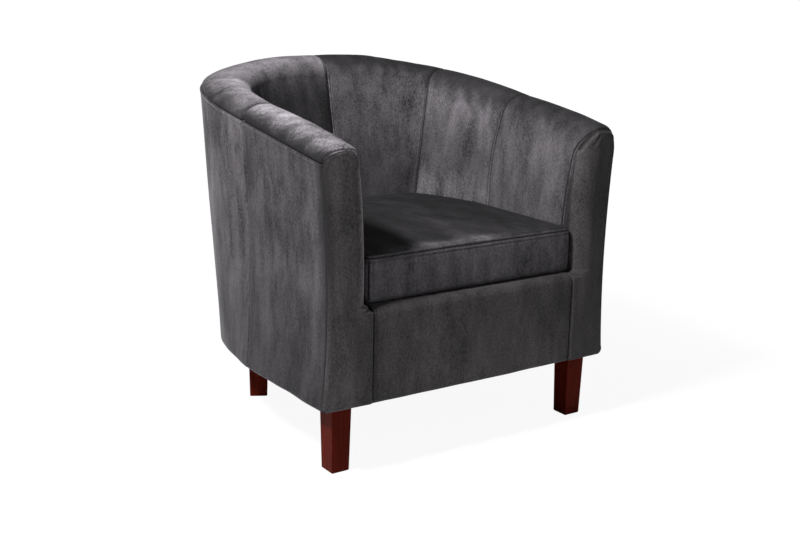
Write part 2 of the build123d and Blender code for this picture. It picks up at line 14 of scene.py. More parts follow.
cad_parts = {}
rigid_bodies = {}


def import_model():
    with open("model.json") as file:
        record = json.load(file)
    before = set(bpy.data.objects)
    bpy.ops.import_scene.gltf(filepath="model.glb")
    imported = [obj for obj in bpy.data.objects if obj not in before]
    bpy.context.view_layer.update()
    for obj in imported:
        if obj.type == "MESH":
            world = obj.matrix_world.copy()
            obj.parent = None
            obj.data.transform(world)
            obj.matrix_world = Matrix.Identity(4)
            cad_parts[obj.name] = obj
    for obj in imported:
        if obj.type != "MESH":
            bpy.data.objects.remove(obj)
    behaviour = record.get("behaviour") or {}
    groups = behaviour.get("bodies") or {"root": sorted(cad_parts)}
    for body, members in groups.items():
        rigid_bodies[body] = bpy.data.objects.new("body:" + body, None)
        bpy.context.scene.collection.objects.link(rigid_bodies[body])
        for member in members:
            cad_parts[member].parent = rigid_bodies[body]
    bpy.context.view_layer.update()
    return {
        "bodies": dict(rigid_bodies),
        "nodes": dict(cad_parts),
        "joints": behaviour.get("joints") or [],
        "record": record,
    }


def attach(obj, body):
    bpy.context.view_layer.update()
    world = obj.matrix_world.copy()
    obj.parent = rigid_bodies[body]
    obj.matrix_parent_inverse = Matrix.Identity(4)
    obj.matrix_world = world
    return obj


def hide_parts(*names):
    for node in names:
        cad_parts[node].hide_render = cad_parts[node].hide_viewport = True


log = logging.getLogger("armchair")

Array = np.ndarray
Triple = tuple[float, float, float]
Table = tuple[tuple[float, ...], tuple[float, ...]]
Cut = dict[str, np.ndarray]
Node = bpy.types.Node
Piece = bpy.types.Object
Socket = bpy.types.NodeSocket

TINY = 1e-12
QUARTER = math.pi / 2
PIN_LEVELS = 4.0
TOP_PERCENTILE = 98.0
CLOTH_FRAMES = 20
CLOTH_SETTINGS = {
    "quality": 5,
    "mass": 0.25,
    "tension_stiffness": 12.0,
    "compression_stiffness": 12.0,
    "shear_stiffness": 6.0,
    "bending_stiffness": 0.6,
    "air_damping": 2.0,
    "use_pressure": True,
    "uniform_pressure_force": 4.0,
    "vertex_group_mass": "held",
}


class Side(Enum):
    """Hand of a mirrored piece: the sign of its X coordinate."""

    LEFT = -1
    RIGHT = 1

    @property
    def word(self) -> str:
        """Lower-case name of the hand."""
        return self.name.lower()

    @property
    def mirror(self) -> Array:
        """Factors that carry a point of the right side to this hand."""
        return np.array([self.value, 1.0, 1.0])


class Body(Enum):
    """Rigid bodies of the chair."""

    TUB = "tub"
    CUSHION = "seat_cushion"


# Mesh helpers

def grid_faces(rows: int, cols: int, flip: bool, wrap_cols: bool = False) -> Array:
    """Quads of a rows by cols grid of points.

    Args:
        rows: Points along the first parameter.
        cols: Points along the second parameter.
        flip: Turns every face over.
        wrap_cols: Joins the last column to the first.

    Returns:
        Vertex indices, one row of four for each quad.
    """
    r = np.arange(rows - 1)[:, None]
    c = np.arange(cols if wrap_cols else cols - 1)[None, :]
    n = (c + 1) % cols
    quad = np.stack([r * cols + c, (r + 1) * cols + c, (r + 1) * cols + n, r * cols + n], axis=-1)
    quad = quad.reshape(-1, 4)
    return quad[:, ::-1] if flip else quad


def mesh_piece(name: str, points: Array, faces: Array, crease: Array | None = None,
               nap: Array | None = None, weld: bool = False) -> Piece:
    """Smooth mesh object at the origin from whole arrays of points and quads.

    Args:
        name: Piece name.
        points: Points, any shape ending in three.
        faces: Quads as vertex indices.
        crease: Painted shade from 0 to 1 at each point that darkens the cloth in seams.
        nap: How light the pile is at each point, its brushing with painted light and shade: 0 dark, 0.5 plain,
            2 lightest.
        weld: Whether points in one place become one, as at a pole or a spine.

    Returns:
        The new object, linked to the scene.
    """
    flat = points.reshape(-1, 3).astype(np.float32)
    mesh = bpy.data.meshes.new(name)
    mesh.vertices.add(len(flat))
    mesh.vertices.foreach_set("co", flat.ravel())
    mesh.loops.add(faces.size)
    mesh.loops.foreach_set("vertex_index", faces.ravel().astype(np.int32))
    mesh.polygons.add(len(faces))
    width = faces.shape[1]
    mesh.polygons.foreach_set("loop_start", np.arange(0, faces.size, width, dtype=np.int32))
    mesh.polygons.foreach_set("use_smooth", np.ones(len(faces), dtype=bool))
    mesh.update(calc_edges=True)
    # Stores the painted seam shade, and the pile's brushing with painted light and shade, as point attributes.
    for word, given, plain in (("crease", crease, 0.0), ("nap", nap, 0.5)):
        mark = mesh.attributes.new(word, "FLOAT", "POINT")
        values = np.broadcast_to(plain if given is None else given, points.shape[:-1]).ravel()
        mark.data.foreach_set("value", values.astype(np.float32))
    if weld:
        joined = bmesh.new()
        joined.from_mesh(mesh)
        bmesh.ops.remove_doubles(joined, verts=joined.verts[:], dist=1e-6)
        joined.to_mesh(mesh)
        joined.free()
    mesh.validate()
    piece = bpy.data.objects.new(name, mesh)
    bpy.context.scene.collection.objects.link(piece)
    return piece


def clamped(value: Array | float) -> Array:
    """Value held between 0 and 1."""
    return np.clip(value, 0.0, 1.0)


def eased(part: Array) -> Array:
    """Smooth step of a share from 0 to 1: three times its square less twice its cube."""
    return part * part * (3.0 - 2.0 * part)


def bell(distance: Array | float, place: float, width: float) -> Array:
    """Bell over a distance: 1 at its place, about a third at one width from it."""
    return np.exp(-(((distance - place) / width) ** 2))


def unit(vectors: Array) -> Array:
    """Vectors scaled to a length of one."""
    return vectors / np.maximum(np.linalg.norm(vectors, axis=-1, keepdims=True), TINY)


def running(steps: Array) -> Array:
    """Running total of steps, from 0."""
    return np.concatenate([[0.0], np.cumsum(steps)])


def ringed(grid: Array) -> Array:
    """Grid with its first column repeated after its last."""
    return np.concatenate([grid, grid[:, :1]], axis=1)


def read_along(place: Array, run: Array, values: Array) -> Array:
    """Values read at places along a run, each column for itself."""
    return np.stack([np.interp(place, run, column) for column in values.T], axis=1)


def normals_of(points: Array) -> Array:
    """Unit normals of a grid: the cross product of its two difference directions."""
    return unit(np.cross(np.gradient(points, axis=0), np.gradient(points, axis=1)))


def thicken(piece: Piece, depth: float) -> None:
    """Closes an open cover with an inner wall.

    Args:
        piece: Open surface whose faces point outwards.
        depth: Distance of the inner wall behind the faces, in metres.
    """
    wall = piece.modifiers.new("wall", "SOLIDIFY")
    wall.thickness = depth
    wall.offset = -1.0
    wall.use_even_offset = False


def spaced(edge: float, total: float, fine: float, coarse: float) -> Array:
    """Distances from 0 to total, closely spaced within edge of both ends.

    Args:
        edge: Width of the closely spaced strip at each end.
        total: Whole length.
        fine: Step in the strips.
        coarse: Step between them.

    Returns:
        Rising distances.
    """
    strip = np.linspace(0.0, edge, max(int(edge / fine), 2) + 1)
    middle = np.linspace(edge, total - edge, max(int((total - 2 * edge) / coarse), 2) + 1)
    return np.concatenate([strip, middle[1:-1], total - strip[::-1]])


def ripple(a: Array, b: Array, seed: int, pitch: float) -> Array:
    """Soft uneven swell: a sum of six slanted sines with set phases.

    Args:
        a: First coordinate, in metres.
        b: Second coordinate.
        seed: Seed of the slants, sizes and phases.
        pitch: Usual length of a wave.

    Returns:
        Values between about -1 and 1.
    """
    rng = np.random.default_rng(seed)
    total = np.zeros(np.broadcast(a, b).shape)
    for _ in range(6):
        turn = rng.uniform(-0.9, 0.9)
        size = pitch * rng.uniform(0.6, 1.7)
        phase = rng.uniform(0.0, 2.0 * math.pi)
        slanted = a * math.cos(turn) + b * math.sin(turn)
        total = total + np.sin(slanted * 2.0 * math.pi / size + phase)
    return total / 3.5


def seam_dive(distance: Array, width: float, depth: Array | float) -> Array:
    """Quarter-round fall of a padded edge into its seam: depth times one less the circle's height."""
    reach = clamped(1.0 - distance / width)
    return depth * (1.0 - np.sqrt(1.0 - reach**2))


def contour(grid: Array, distance: Array, place: float) -> Array:
    """Values of a grid along the line where a distance that rises along the rows reaches a place.

    Args:
        grid: Values, rows by columns by any.
        distance: Distance at each row and column, rising along the rows.
        place: Distance of the line.

    Returns:
        One value for each column.
    """
    after = np.maximum(np.argmax(distance >= place, axis=0), 1)
    column = np.arange(distance.shape[1])
    low, high = distance[after - 1, column], distance[after, column]
    part = clamped((place - low) / np.maximum(high - low, 1e-9))[:, None]
    return grid[after - 1, column] * (1.0 - part) + grid[after, column] * part


def arc_of(points: Array, axis: int) -> Array:
    """Mean length run along one parameter of a grid, from 0."""
    return running(np.linalg.norm(np.diff(points, axis=axis), axis=-1).mean(axis=1 - axis))


def thinned(places: Array, pitch: float) -> Array:
    """Indices of rising places that lie about a pitch apart, with both ends."""
    pick = np.diff(np.floor(places / pitch)) > 0.0
    return np.flatnonzero(np.concatenate([[True], pick[:-1], [True]]))


def cloth_move(coarse: Array, held: Array, flip: bool, wrap: bool) -> Array:
    """Moves of a grid's points in a cloth run under pressure, with gravity off.

    Args:
        coarse: Grid of points, rows by columns.
        held: Share from 0 to 1 by which each point is held.
        flip: Whether the grid's faces are turned over.
        wrap: Whether the last column joins the first.

    Returns:
        Move of each point.
    """
    piece = mesh_piece("settling_cover", coarse, grid_faces(*coarse.shape[:2], flip, wrap))
    pins = piece.vertex_groups.new(name="held")
    share = np.round(held.ravel() * PIN_LEVELS) / PIN_LEVELS
    for level in np.unique(share[share > 0.0]):
        pins.add(np.flatnonzero(share == level).tolist(), float(level), "REPLACE")
    cloth = piece.modifiers.new("cloth", "CLOTH")
    for key, value in CLOTH_SETTINGS.items():
        setattr(cloth.settings, key, value)
    cloth.settings.effector_weights.gravity = 0.0
    cloth.collision_settings.use_collision = False
    cloth.point_cache.frame_start = 1
    cloth.point_cache.frame_end = CLOTH_FRAMES
    scene = bpy.context.scene
    for frame in range(1, CLOTH_FRAMES + 1):
        scene.frame_set(frame)
    done = piece.evaluated_get(bpy.context.evaluated_depsgraph_get()).data
    ended = np.empty(coarse.size, dtype=np.float32)
    done.vertices.foreach_get("co", ended)
    scene.frame_set(1)
    mesh = piece.data
    bpy.data.objects.remove(piece)
    bpy.data.meshes.remove(mesh)
    return ended.reshape(coarse.shape) - coarse


def settle(points: Array, held: Array, flip: bool, wrap: bool, cap: float, pitch: float = 0.006) -> Array:
    """How far a padded cover swells outwards in a cloth run under pressure, with its seams held.

    A thinned copy of the grid is run as cloth. The outward part of each point's move is scaled
    to the cap and read back onto the full grid between its four neighbours.

    Args:
        points: Grid of points, rows by columns.
        held: Share from 0 to 1 by which each point is held.
        flip: Whether the grid's faces are turned over, so that they point outwards.
        wrap: Whether the last column joins the first.
        cap: Greatest swell, in metres.
        pitch: Spacing of the thinned grid.

    Returns:
        Swell at each point of the grid, in metres.
    """
    arcs = arc_of(points, 0), arc_of(ringed(points) if wrap else points, 1)
    rows, cols = thinned(arcs[0], pitch), thinned(arcs[1], pitch)
    kept = cols[:-1] if wrap else cols
    coarse = points[np.ix_(rows, kept)]
    moved = cloth_move(coarse, held[np.ix_(rows, kept)], flip, wrap)
    facing = normals_of(ringed(coarse))[:, :-1] if wrap else normals_of(coarse)
    out = np.clip(np.sum(moved * facing * (-1.0 if flip else 1.0), axis=-1), 0.0, None)
    top = float(np.percentile(out, TOP_PERCENTILE))
    log.info("cloth run on %d points, free swell %.1f mm, cap %.1f mm", out.size, top * 1e3, cap * 1e3)
    out = np.minimum(out * (cap / max(top, 1e-6)), cap)
    if wrap:
        out = ringed(out)
    down = np.interp(arcs[0], arcs[0][rows], np.arange(len(rows)))
    over = np.interp(arcs[1][: points.shape[1]], arcs[1][cols], np.arange(len(cols)))
    r, c = np.minimum(down.astype(int), len(rows) - 2), np.minimum(over.astype(int), len(cols) - 2)
    a, b = (down - r)[:, None], (over - c)[None, :]
    low = out[r][:, c] * (1.0 - b) + out[r][:, c + 1] * b
    high = out[r + 1][:, c] * (1.0 - b) + out[r + 1][:, c + 1] * b
    return low * (1.0 - a) + high * a


# Form of the tub

@dataclass(frozen=True)
class TubForm:
    """Plan and sections of the tub wall, in metres."""

    half_width: float = 0.331
    depth: float = 0.640
    straight: float = 0.285
    power: float = 3.03
    rim_front: float = 0.563
    rim_turn: float = 0.6025
    rim_back: float = 0.658
    roll_arm: float = 0.086
    roll_back: float = 0.113
    rise_at: tuple[float, ...] = (0.0, 0.3, 0.6, 0.8, 0.9, 0.96, 1.0)
    rise: tuple[float, ...] = (0.0335, 0.0312, 0.0262, 0.0228, 0.0229, 0.0260, 0.0318)
    fullness: float = 2.12
    droop: float = 0.0030
    droop_reach: float = 0.05
    flare: float = 0.0038
    bow_side: float = 0.005
    bow_middle: float = 0.014
    bow_edge: float = 0.007
    bow_reach: float = 0.085
    outer_end: float = 0.17
    inner_end: float = 0.35
    drop_arm: float = 0.018
    drop_back: float = 0.011
    ridge: float = 0.57
    inside_arm: float = 0.095
    inside_back: float = 0.188
    inside_bottom: float = 0.297
    bulge: float = 0.005
    base_side: float = 0.005
    base_back: float = 0.0345
    waist: float = 0.0145
    waist_height: float = 0.354
    bottom: float = 0.1265
    arm_seam: float = 0.272
    wing_turn: float = 62.0
    side_points: int = 300
    curve_points: int = 1600
    crowding: float = 1.45

    @property
    def front(self) -> float:
        """Y of the front plane."""
        return -self.depth / 2

    def line(self) -> Cut:
        """Rim line of the right half from the arm front to the back centre.

        The plan is a straight side, then a quarter of the curve |x/a|^n + |y/b|^n = 1.

        Returns:
            Arrays along the line: length, x, y, nx, ny, share, rim and turn.
        """
        reach = self.depth - self.straight
        k = np.linspace(0.0, 1.0, self.curve_points)
        g = k**self.crowding / (k**self.crowding + (1.0 - k) ** self.crowding)
        turn = np.radians(90.0 * (1.0 - g))
        side = np.sin(turn) ** (2.0 / self.power)
        back = np.clip(np.cos(turn), 0.0, None) ** (2.0 / self.power)
        nx = side ** (self.power - 1.0) / self.half_width
        ny = back ** (self.power - 1.0) / reach
        size = np.hypot(nx, ny)
        start = (self.rim_turn - self.rim_front) / self.straight * reach / (self.rim_back - self.rim_turn)
        rim_curve = self.rim_turn + (self.rim_back - self.rim_turn) * back * (start + (1.0 - start) * back)
        s = np.linspace(0.0, 1.0, self.side_points)[:-1]
        ones = np.ones_like(s)
        x = np.concatenate([self.half_width * ones, self.half_width * side])
        y = np.concatenate([self.straight * s, self.straight + reach * back])
        return {
            "length": running(np.hypot(np.diff(x), np.diff(y))),
            "x": x,
            "y": y + self.front,
            "nx": np.concatenate([ones, nx / size]),
            "ny": np.concatenate([0.0 * s, ny / size]),
            "share": np.concatenate([0.0 * s, back]),
            "rim": np.concatenate([self.rim_front + (self.rim_turn - self.rim_front) * s, rim_curve]),
            "turn": np.concatenate([90.0 * ones, np.degrees(turn)]),
        }

    def at(self, length: Array) -> Cut:
        """Rim line values at lengths along it; lengths past the centre mirror back.

        Args:
            length: Lengths from the arm front, in metres.

        Returns:
            Arrays of the same shape as length.
        """
        line = self.line()
        end = line["length"][-1]
        past = length > end
        inner = np.where(past, 2.0 * end - length, length)
        value = {key: np.interp(inner, line["length"], line[key]) for key in line}
        value["x"] = np.where(past, -value["x"], value["x"])
        value["nx"] = np.where(past, -value["nx"], value["nx"])
        before = np.minimum(length, 0.0)
        value["y"] = value["y"] + before
        value["rim"] = value["rim"] + before * (self.rim_turn - self.rim_front) / self.straight
        return value

    def bow(self, x: Array) -> Array:
        """Forward bow of the front at x: least at the outer edges, full between the arms."""
        part = clamped((self.half_width - self.bow_edge - np.abs(x)) / self.bow_reach)
        return self.bow_side + (self.bow_middle - self.bow_side) * part * (2.0 - part)

    def span(self) -> float:
        """Length of the right half of the rim line."""
        return float(self.line()["length"][-1])

    def length_at_turn(self, turn: float) -> float:
        """Length along the rim line at which the plan has turned to an angle from the back centre."""
        line, first = self.line(), self.side_points - 1
        return float(np.interp(-turn, -line["turn"][first:], line["length"][first:]))

    def place(self, cut: Cut, inset: Array, height: Array) -> Array:
        """Points behind the rim line: rim point less inset along the outward normal, at a height."""
        x, y = cut["x"] - cut["nx"] * inset, cut["y"] - cut["ny"] * inset
        return np.stack(np.broadcast_arrays(x, y, height), axis=-1)

    def blend(self, cut: Cut, arm: float, back: float) -> Array:
        """Measure that changes from the arm to the back with the share of the curve."""
        return arm + (back - arm) * cut["share"]

    def roll(self, cut: Cut) -> Array:
        """Thickness of the rolled rim."""
        return self.blend(cut, self.roll_arm, self.roll_back)

    def drop(self, cut: Cut) -> Array:
        """Fall from the rim line to the inner end of the roll."""
        return self.blend(cut, self.drop_arm, self.drop_back)

    def inside(self, cut: Cut) -> Array:
        """Distance of the inside face's foot from the rim line."""
        return self.blend(cut, self.inside_arm, self.inside_back)

    def face(self, cut: Cut, c: Array) -> Array:
        """Inset of the leaning, slightly bulged inside face past the roll, c from 0 at its top to 1."""
        lean = 0.7 * c + 0.3 * c**2
        return (self.inside(cut) - self.roll(cut)) * lean + 4.0 * self.bulge * c * (1.0 - c)

    def base(self, cut: Cut) -> Array:
        """Inset of the outside wall at its foot."""
        return self.base_side + (self.base_back - self.base_side) * np.sin(cut["share"] * QUARTER)

    def shoulder(self, cut: Cut) -> Array:
        """Outward swell of the rim at the rear shoulders: a bell over the share of the curve."""
        return self.flare * bell(cut["share"], 0.75, 0.25)

    def cover(self, cut: Cut, v: Array) -> tuple[Array, Array]:
        """Section of the inside cover.

        Two quarter ellipses lead over the roll, the outer one fuller; then the face leans inwards.

        Args:
            cut: Rim line values.
            v: Place along the section, 0 at the outer seam, 1 at the foot.

        Returns:
            Inset behind the rim line and height.
        """
        roll, drop = self.roll(cut), self.drop(cut)
        ridge = roll * self.ridge
        top = cut["rim"] - drop
        a = clamped(v / self.outer_end) * QUARTER
        b = clamped((v - self.outer_end) / (self.inner_end - self.outer_end)) * QUARTER
        c = clamped((v - self.inner_end) / (1.0 - self.inner_end))
        full = 2.0 / self.fullness
        rise = np.interp(cut["share"], self.rise_at, self.rise)
        rise = rise - self.droop * np.exp(-cut["length"] / self.droop_reach)
        outer, over = clamped(np.cos(a)) ** full, np.sin(a) ** full
        inset = ridge * (1.0 - outer) + (roll - ridge) * np.sin(b)
        inset = inset - self.shoulder(cut) * clamped(1.0 - v / 0.3) + self.face(cut, c)
        over_ridge, past_ridge = cut["rim"] + rise * over, top + (rise + drop) * np.cos(b)
        height = np.where(v <= self.outer_end, over_ridge, past_ridge)
        return inset, height + (self.inside_bottom - top) * c

    def shell(self, cut: Cut, height: Array) -> Array:
        """Inset of the outside wall, flared at the shoulders.

        It is a parabola through the base, the waist and the rim seam.

        Args:
            cut: Rim line values.
            height: Heights on the wall.

        Returns:
            Inset behind the rim line.
        """
        z0, z1, z2 = self.bottom, self.waist_height, cut["rim"]
        first = (height - z1) * (height - z2) / ((z0 - z1) * (z0 - z2))
        second = (height - z0) * (height - z2) / ((z1 - z0) * (z1 - z2))
        third = (height - z0) * (height - z1) / ((z2 - z0) * (z2 - z1))
        flare = self.shoulder(cut) * clamped(third) ** 2
        return self.base(cut) * first + self.waist * second - flare

    def wall(self, cut: Cut, height: float) -> Array:
        """Inset of the inside face at a height, for what stands between the walls.

        Args:
            cut: Rim line values.
            height: Height on the face.

        Returns:
            Inset behind the rim line.
        """
        top = cut["rim"] - self.drop(cut)
        c = clamped(1.0 - (height - self.inside_bottom) / (top - self.inside_bottom))
        return self.roll(cut) + self.face(cut, c)


# Finishes

class Nodes:
    """Short hand for building one node tree."""

    def __init__(self, tree: bpy.types.NodeTree) -> None:
        """Keeps the tree.

        Args:
            tree: Tree that receives the nodes.
        """
        self.tree = tree

    def add(self, kind: str, **values: object) -> Node:
        """Adds a node and sets its attributes or input sockets by name.

        Args:
            kind: Node type.
            values: Attributes, or sockets with spaces written as underscores.

        Returns:
            The node.
        """
        node = self.tree.nodes.new(kind)
        for key, value in values.items():
            if hasattr(node, key):
                setattr(node, key, value)
            else:
                node.inputs[key.replace("_", " ")].default_value = value
        return node

    def put(self, node: Node, **values: object) -> None:
        """Sets input sockets by name, with spaces written as underscores."""
        for key, value in values.items():
            node.inputs[key.replace("_", " ")].default_value = value

    def link(self, source: Socket, target: Socket) -> None:
        """Joins two sockets."""
        self.tree.links.new(source, target)

    def where(self) -> Socket:
        """Coordinates in the object's own frame."""
        return self.add("ShaderNodeTexCoord").outputs["Object"]

    def weighted(self, *terms: tuple[Socket, float]) -> Socket:
        """Sum of values, each times its weight.

        Args:
            terms: Pairs of a value socket and its weight.

        Returns:
            The sum's socket.
        """
        total, *rest = [self.math("MULTIPLY", value, weight) for value, weight in terms]
        for term in rest:
            total = self.math("ADD", total, term)
        return total

    def tint(self, shader: Node, factor: Socket, dark: Triple, light: Triple, **values: object) -> None:
        """Base colour that runs from dark to light.

        Args:
            shader: Shader that receives it.
            factor: Place between the two, 0 dark and 1 light.
            dark: Dark colour.
            light: Light colour.
            values: Attributes of the mix node.
        """
        colour = self.add("ShaderNodeMix", data_type="RGBA", **values)
        self.put(colour, A=(*dark, 1.0), B=(*light, 1.0))
        self.link(factor, colour.inputs["Factor"])
        self.link(colour.outputs["Result"], shader.inputs["Base Color"])

    def bump(self, shader: Node, height: Socket, strength: float, distance: float) -> None:
        """Relief of a shader.

        Args:
            shader: Shader that receives it.
            height: Height value.
            strength: Share of the relief that is used.
            distance: Depth of the relief, in metres.
        """
        node = self.add("ShaderNodeBump", Strength=strength, Distance=distance)
        self.link(height, node.inputs["Height"])
        self.link(node.outputs["Normal"], shader.inputs["Normal"])

    def math(self, operation: str, first: object, second: object) -> Socket:
        """Value of a sum on two sockets or numbers.

        Args:
            operation: Name of the operation.
            first: Socket or number.
            second: Socket or number.

        Returns:
            The result socket.
        """
        node = self.tree.nodes.new("ShaderNodeMath")
        node.operation = operation
        for slot, value in enumerate((first, second)):
            if isinstance(value, (int, float)):
                node.inputs[slot].default_value = value
            else:
                self.link(value, node.inputs[slot])
        return node.outputs[0]

    def noise(self, vector: Socket, scale: Triple, detail: float,
              rough: float) -> Socket:
        """Noise value with its own scale along each axis.

        Args:
            vector: Coordinate socket.
            scale: Cycles per metre along X, Y and Z.
            detail: Octaves.
            rough: Weight of each finer octave.

        Returns:
            The value socket.
        """
        place = self.add("ShaderNodeMapping", Scale=scale)
        self.link(vector, place.inputs["Vector"])
        noise = self.add("ShaderNodeTexNoise", Scale=1.0, Detail=detail, Roughness=rough)
        self.link(place.outputs["Vector"], noise.inputs["Vector"])
        return noise.outputs["Fac"]


def ramp(nodes: Nodes, value: Socket, low: float, high: float) -> Socket:
    """Smooth step of a value from low to high onto 0 to 1.

    Args:
        nodes: Tree helper.
        value: Value socket.
        low: Value that becomes 0.
        high: Value that becomes 1.

    Returns:
        The stepped value socket.
    """
    node = nodes.add("ShaderNodeMapRange", interpolation_type="SMOOTHSTEP", From_Min=low, From_Max=high)
    nodes.link(value, node.inputs["Value"])
    return node.outputs["Result"]


def pile_group() -> bpy.types.NodeTree:
    """Node group of velvet pile with its brushing, painted light and painted seam shade, made once.

    Returns:
        Group with the outputs: the colour share, 0 dark and 1 light, past 1 where painted lightest, which holds
            the pile's brushing, painted light and painted seam shade; and Height.
    """
    tree = bpy.data.node_groups.get("velvet_pile")
    if tree:
        return tree
    tree = bpy.data.node_groups.new("velvet_pile", "ShaderNodeTree")
    for name, plain in (("Streak", 1.0), ("Grain", 1.0), ("Crease", 0.0), ("Nap", 0.5)):
        entry = tree.interface.new_socket(name, in_out="INPUT", socket_type="NodeSocketFloat")
        entry.default_value = plain
    for name in ("Brush", "Height"):
        tree.interface.new_socket(name, in_out="OUTPUT", socket_type="NodeSocketFloat")
    n = Nodes(tree)
    entry = n.add("NodeGroupInput")
    leave = n.add("NodeGroupOutput")
    where = n.where()
    broad = ramp(n, n.noise(where, (8.0, 8.0, 4.0), 3.0, 0.55), 0.36, 0.64)
    streak = ramp(n, n.noise(where, (48.0, 48.0, 13.0), 4.0, 0.62), 0.30, 0.70)
    patch = ramp(n, n.noise(where, (20.0, 20.0, 8.0), 3.0, 0.6), 0.34, 0.68)
    tuft = n.noise(where, (330.0, 330.0, 210.0), 2.0, 0.6)
    thread = n.noise(where, (700.0, 700.0, 480.0), 2.0, 0.6)
    mixed = n.weighted((broad, 0.36), (streak, 0.30), (patch, 0.34))
    mixed = n.math("MULTIPLY", n.math("SUBTRACT", mixed, 0.5), entry.outputs["Streak"])
    mixed = n.math("ADD", mixed, 0.5)
    finest = n.math("MULTIPLY", n.math("SUBTRACT", thread, 0.5), 0.6)
    fine = n.math("ADD", n.math("SUBTRACT", tuft, 0.5), finest)
    mixed = n.math("ADD", mixed, n.math("MULTIPLY", fine, entry.outputs["Grain"]))
    # The tone is scaled by the pile's brushing with painted light and shade, then taken down by the painted
    # seam shade.
    mixed = n.math("MULTIPLY", n.math("MULTIPLY", mixed, 2.0), entry.outputs["Nap"])
    clear = n.math("SUBTRACT", 1.0, n.math("MULTIPLY", entry.outputs["Crease"], 0.97))
    n.link(n.math("MULTIPLY", n.math("MAXIMUM", mixed, 0.0), clear), leave.inputs["Brush"])
    n.link(n.weighted((tuft, 0.5), (streak, 0.5)), leave.inputs["Height"])
    return tree


@dataclass(frozen=True)
class Finish:
    """Material that is made once and then found again by its name."""

    name: str

    def material(self) -> bpy.types.Material:
        """Finds the material, or makes it.

        Returns:
            The material.
        """
        found = bpy.data.materials.get(self.name)
        if found:
            return found
        made = bpy.data.materials.new(self.name)
        made.use_nodes = True
        self.paint(Nodes(made.node_tree), made.node_tree.nodes["Principled BSDF"])
        return made

    def paint(self, n: Nodes, shader: Node) -> None:
        """Joins the nodes of the finish to the shader; every kind does it in its own way."""
        raise NotImplementedError


@dataclass(frozen=True)
class Velvet(Finish):
    """Short-pile velvet of one dye with a sheen: its colour runs from dark to light with the pile's strokes,
    painted light and painted seam shade.
    """

    dark: Triple = (0.013, 0.012, 0.0135)
    light: Triple = (0.130, 0.121, 0.131)
    streak: float = 1.05
    grain: float = 1.3
    roughness: float = 0.86
    specular: float = 0.18
    sheen: float = 0.42
    sheen_rough: float = 0.27
    sheen_tint: Triple = (0.62, 0.60, 0.63)
    relief: float = 0.0011
    relief_share: float = 0.6

    def paint(self, n: Nodes, shader: Node) -> None:
        """Pile group with the painted seam shade and the pile's brushing with painted light and shade at each
        point, as colour and relief.

        Args:
            n: Tree helper.
            shader: Shader of the material.
        """
        pile = n.add("ShaderNodeGroup", node_tree=pile_group())
        n.put(pile, Streak=self.streak, Grain=self.grain)
        # Reads the painted seam shade and the brushing with painted light and shade of each point.
        for mark, socket in (("crease", "Crease"), ("nap", "Nap")):
            given = n.add("ShaderNodeAttribute", attribute_name=mark)
            n.link(given.outputs["Fac"], pile.inputs[socket])
        n.tint(shader, pile.outputs["Brush"], self.dark, self.light, clamp_factor=False)
        n.bump(shader, pile.outputs["Height"], self.relief_share, self.relief)
        n.put(shader, Roughness=self.roughness, Specular_IOR_Level=self.specular, Sheen_Weight=self.sheen,
              Sheen_Roughness=self.sheen_rough, Sheen_Tint=(*self.sheen_tint, 1.0))


@dataclass(frozen=True)
class Wood(Finish):
    """Wood with grain along one axis."""

    dark: Triple
    light: Triple
    grain: Triple
    roughness: float
    specular: float = 0.035
    relief: float = 0.0004

    def paint(self, n: Nodes, shader: Node) -> None:
        """Fine fibres over wide bands, as colour, roughness and relief.

        Args:
            n: Tree helper.
            shader: Shader of the material.
        """
        where = n.where()
        fibre = n.noise(where, self.grain, 5.0, 0.6)
        wide = n.noise(where, tuple(g * 0.22 for g in self.grain), 2.0, 0.5)
        n.tint(shader, n.weighted((ramp(n, fibre, 0.3, 0.7), 0.6), (wide, 0.4)), self.dark, self.light)
        rough = n.math("ADD", self.roughness - 0.06, n.math("MULTIPLY", fibre, 0.12))
        n.link(rough, shader.inputs["Roughness"])
        n.bump(shader, fibre, 0.25, self.relief)
        n.put(shader, Specular_IOR_Level=self.specular)


@dataclass(frozen=True)
class Cloth(Finish):
    """Plain woven or felted cloth: a crossing pattern of fine waves over a mottled colour."""

    dark: Triple
    light: Triple
    pitch: float
    roughness: float = 0.9
    relief: float = 0.0004

    def paint(self, n: Nodes, shader: Node) -> None:
        """Product of two sine waves with a mottle, as colour and relief.

        Args:
            n: Tree helper.
            shader: Shader of the material.
        """
        where = n.where()
        mottle = n.noise(where, (60.0, 60.0, 60.0), 3.0, 0.6)
        parts = n.add("ShaderNodeSeparateXYZ")
        n.link(where, parts.inputs[0])
        warp, weft = (n.math("SINE", n.math("MULTIPLY", parts.outputs[axis], self.pitch), 0.0) for axis in "XY")
        weave = n.math("ADD", n.math("MULTIPLY", n.math("MULTIPLY", warp, weft), 0.25), 0.5)
        n.tint(shader, n.math("MULTIPLY", n.math("ADD", mottle, weave), 0.5), self.dark, self.light)
        n.bump(shader, weave, 0.4, self.relief)
        n.put(shader, Roughness=self.roughness)


@dataclass(frozen=True)
class Zinc(Finish):
    """Bright zinc-plated steel with uneven gloss."""

    colour: Triple = (0.58, 0.59, 0.6)

    def paint(self, n: Nodes, shader: Node) -> None:
        """Bare metal whose roughness follows a cloud of noise.

        Args:
            n: Tree helper.
            shader: Shader of the material.
        """
        cloud = n.noise(n.where(), (180.0, 180.0, 180.0), 3.0, 0.6)
        n.put(shader, Metallic=1.0, Base_Color=(*self.colour, 1.0))
        n.link(n.math("ADD", 0.22, n.math("MULTIPLY", cloud, 0.25)), shader.inputs["Roughness"])


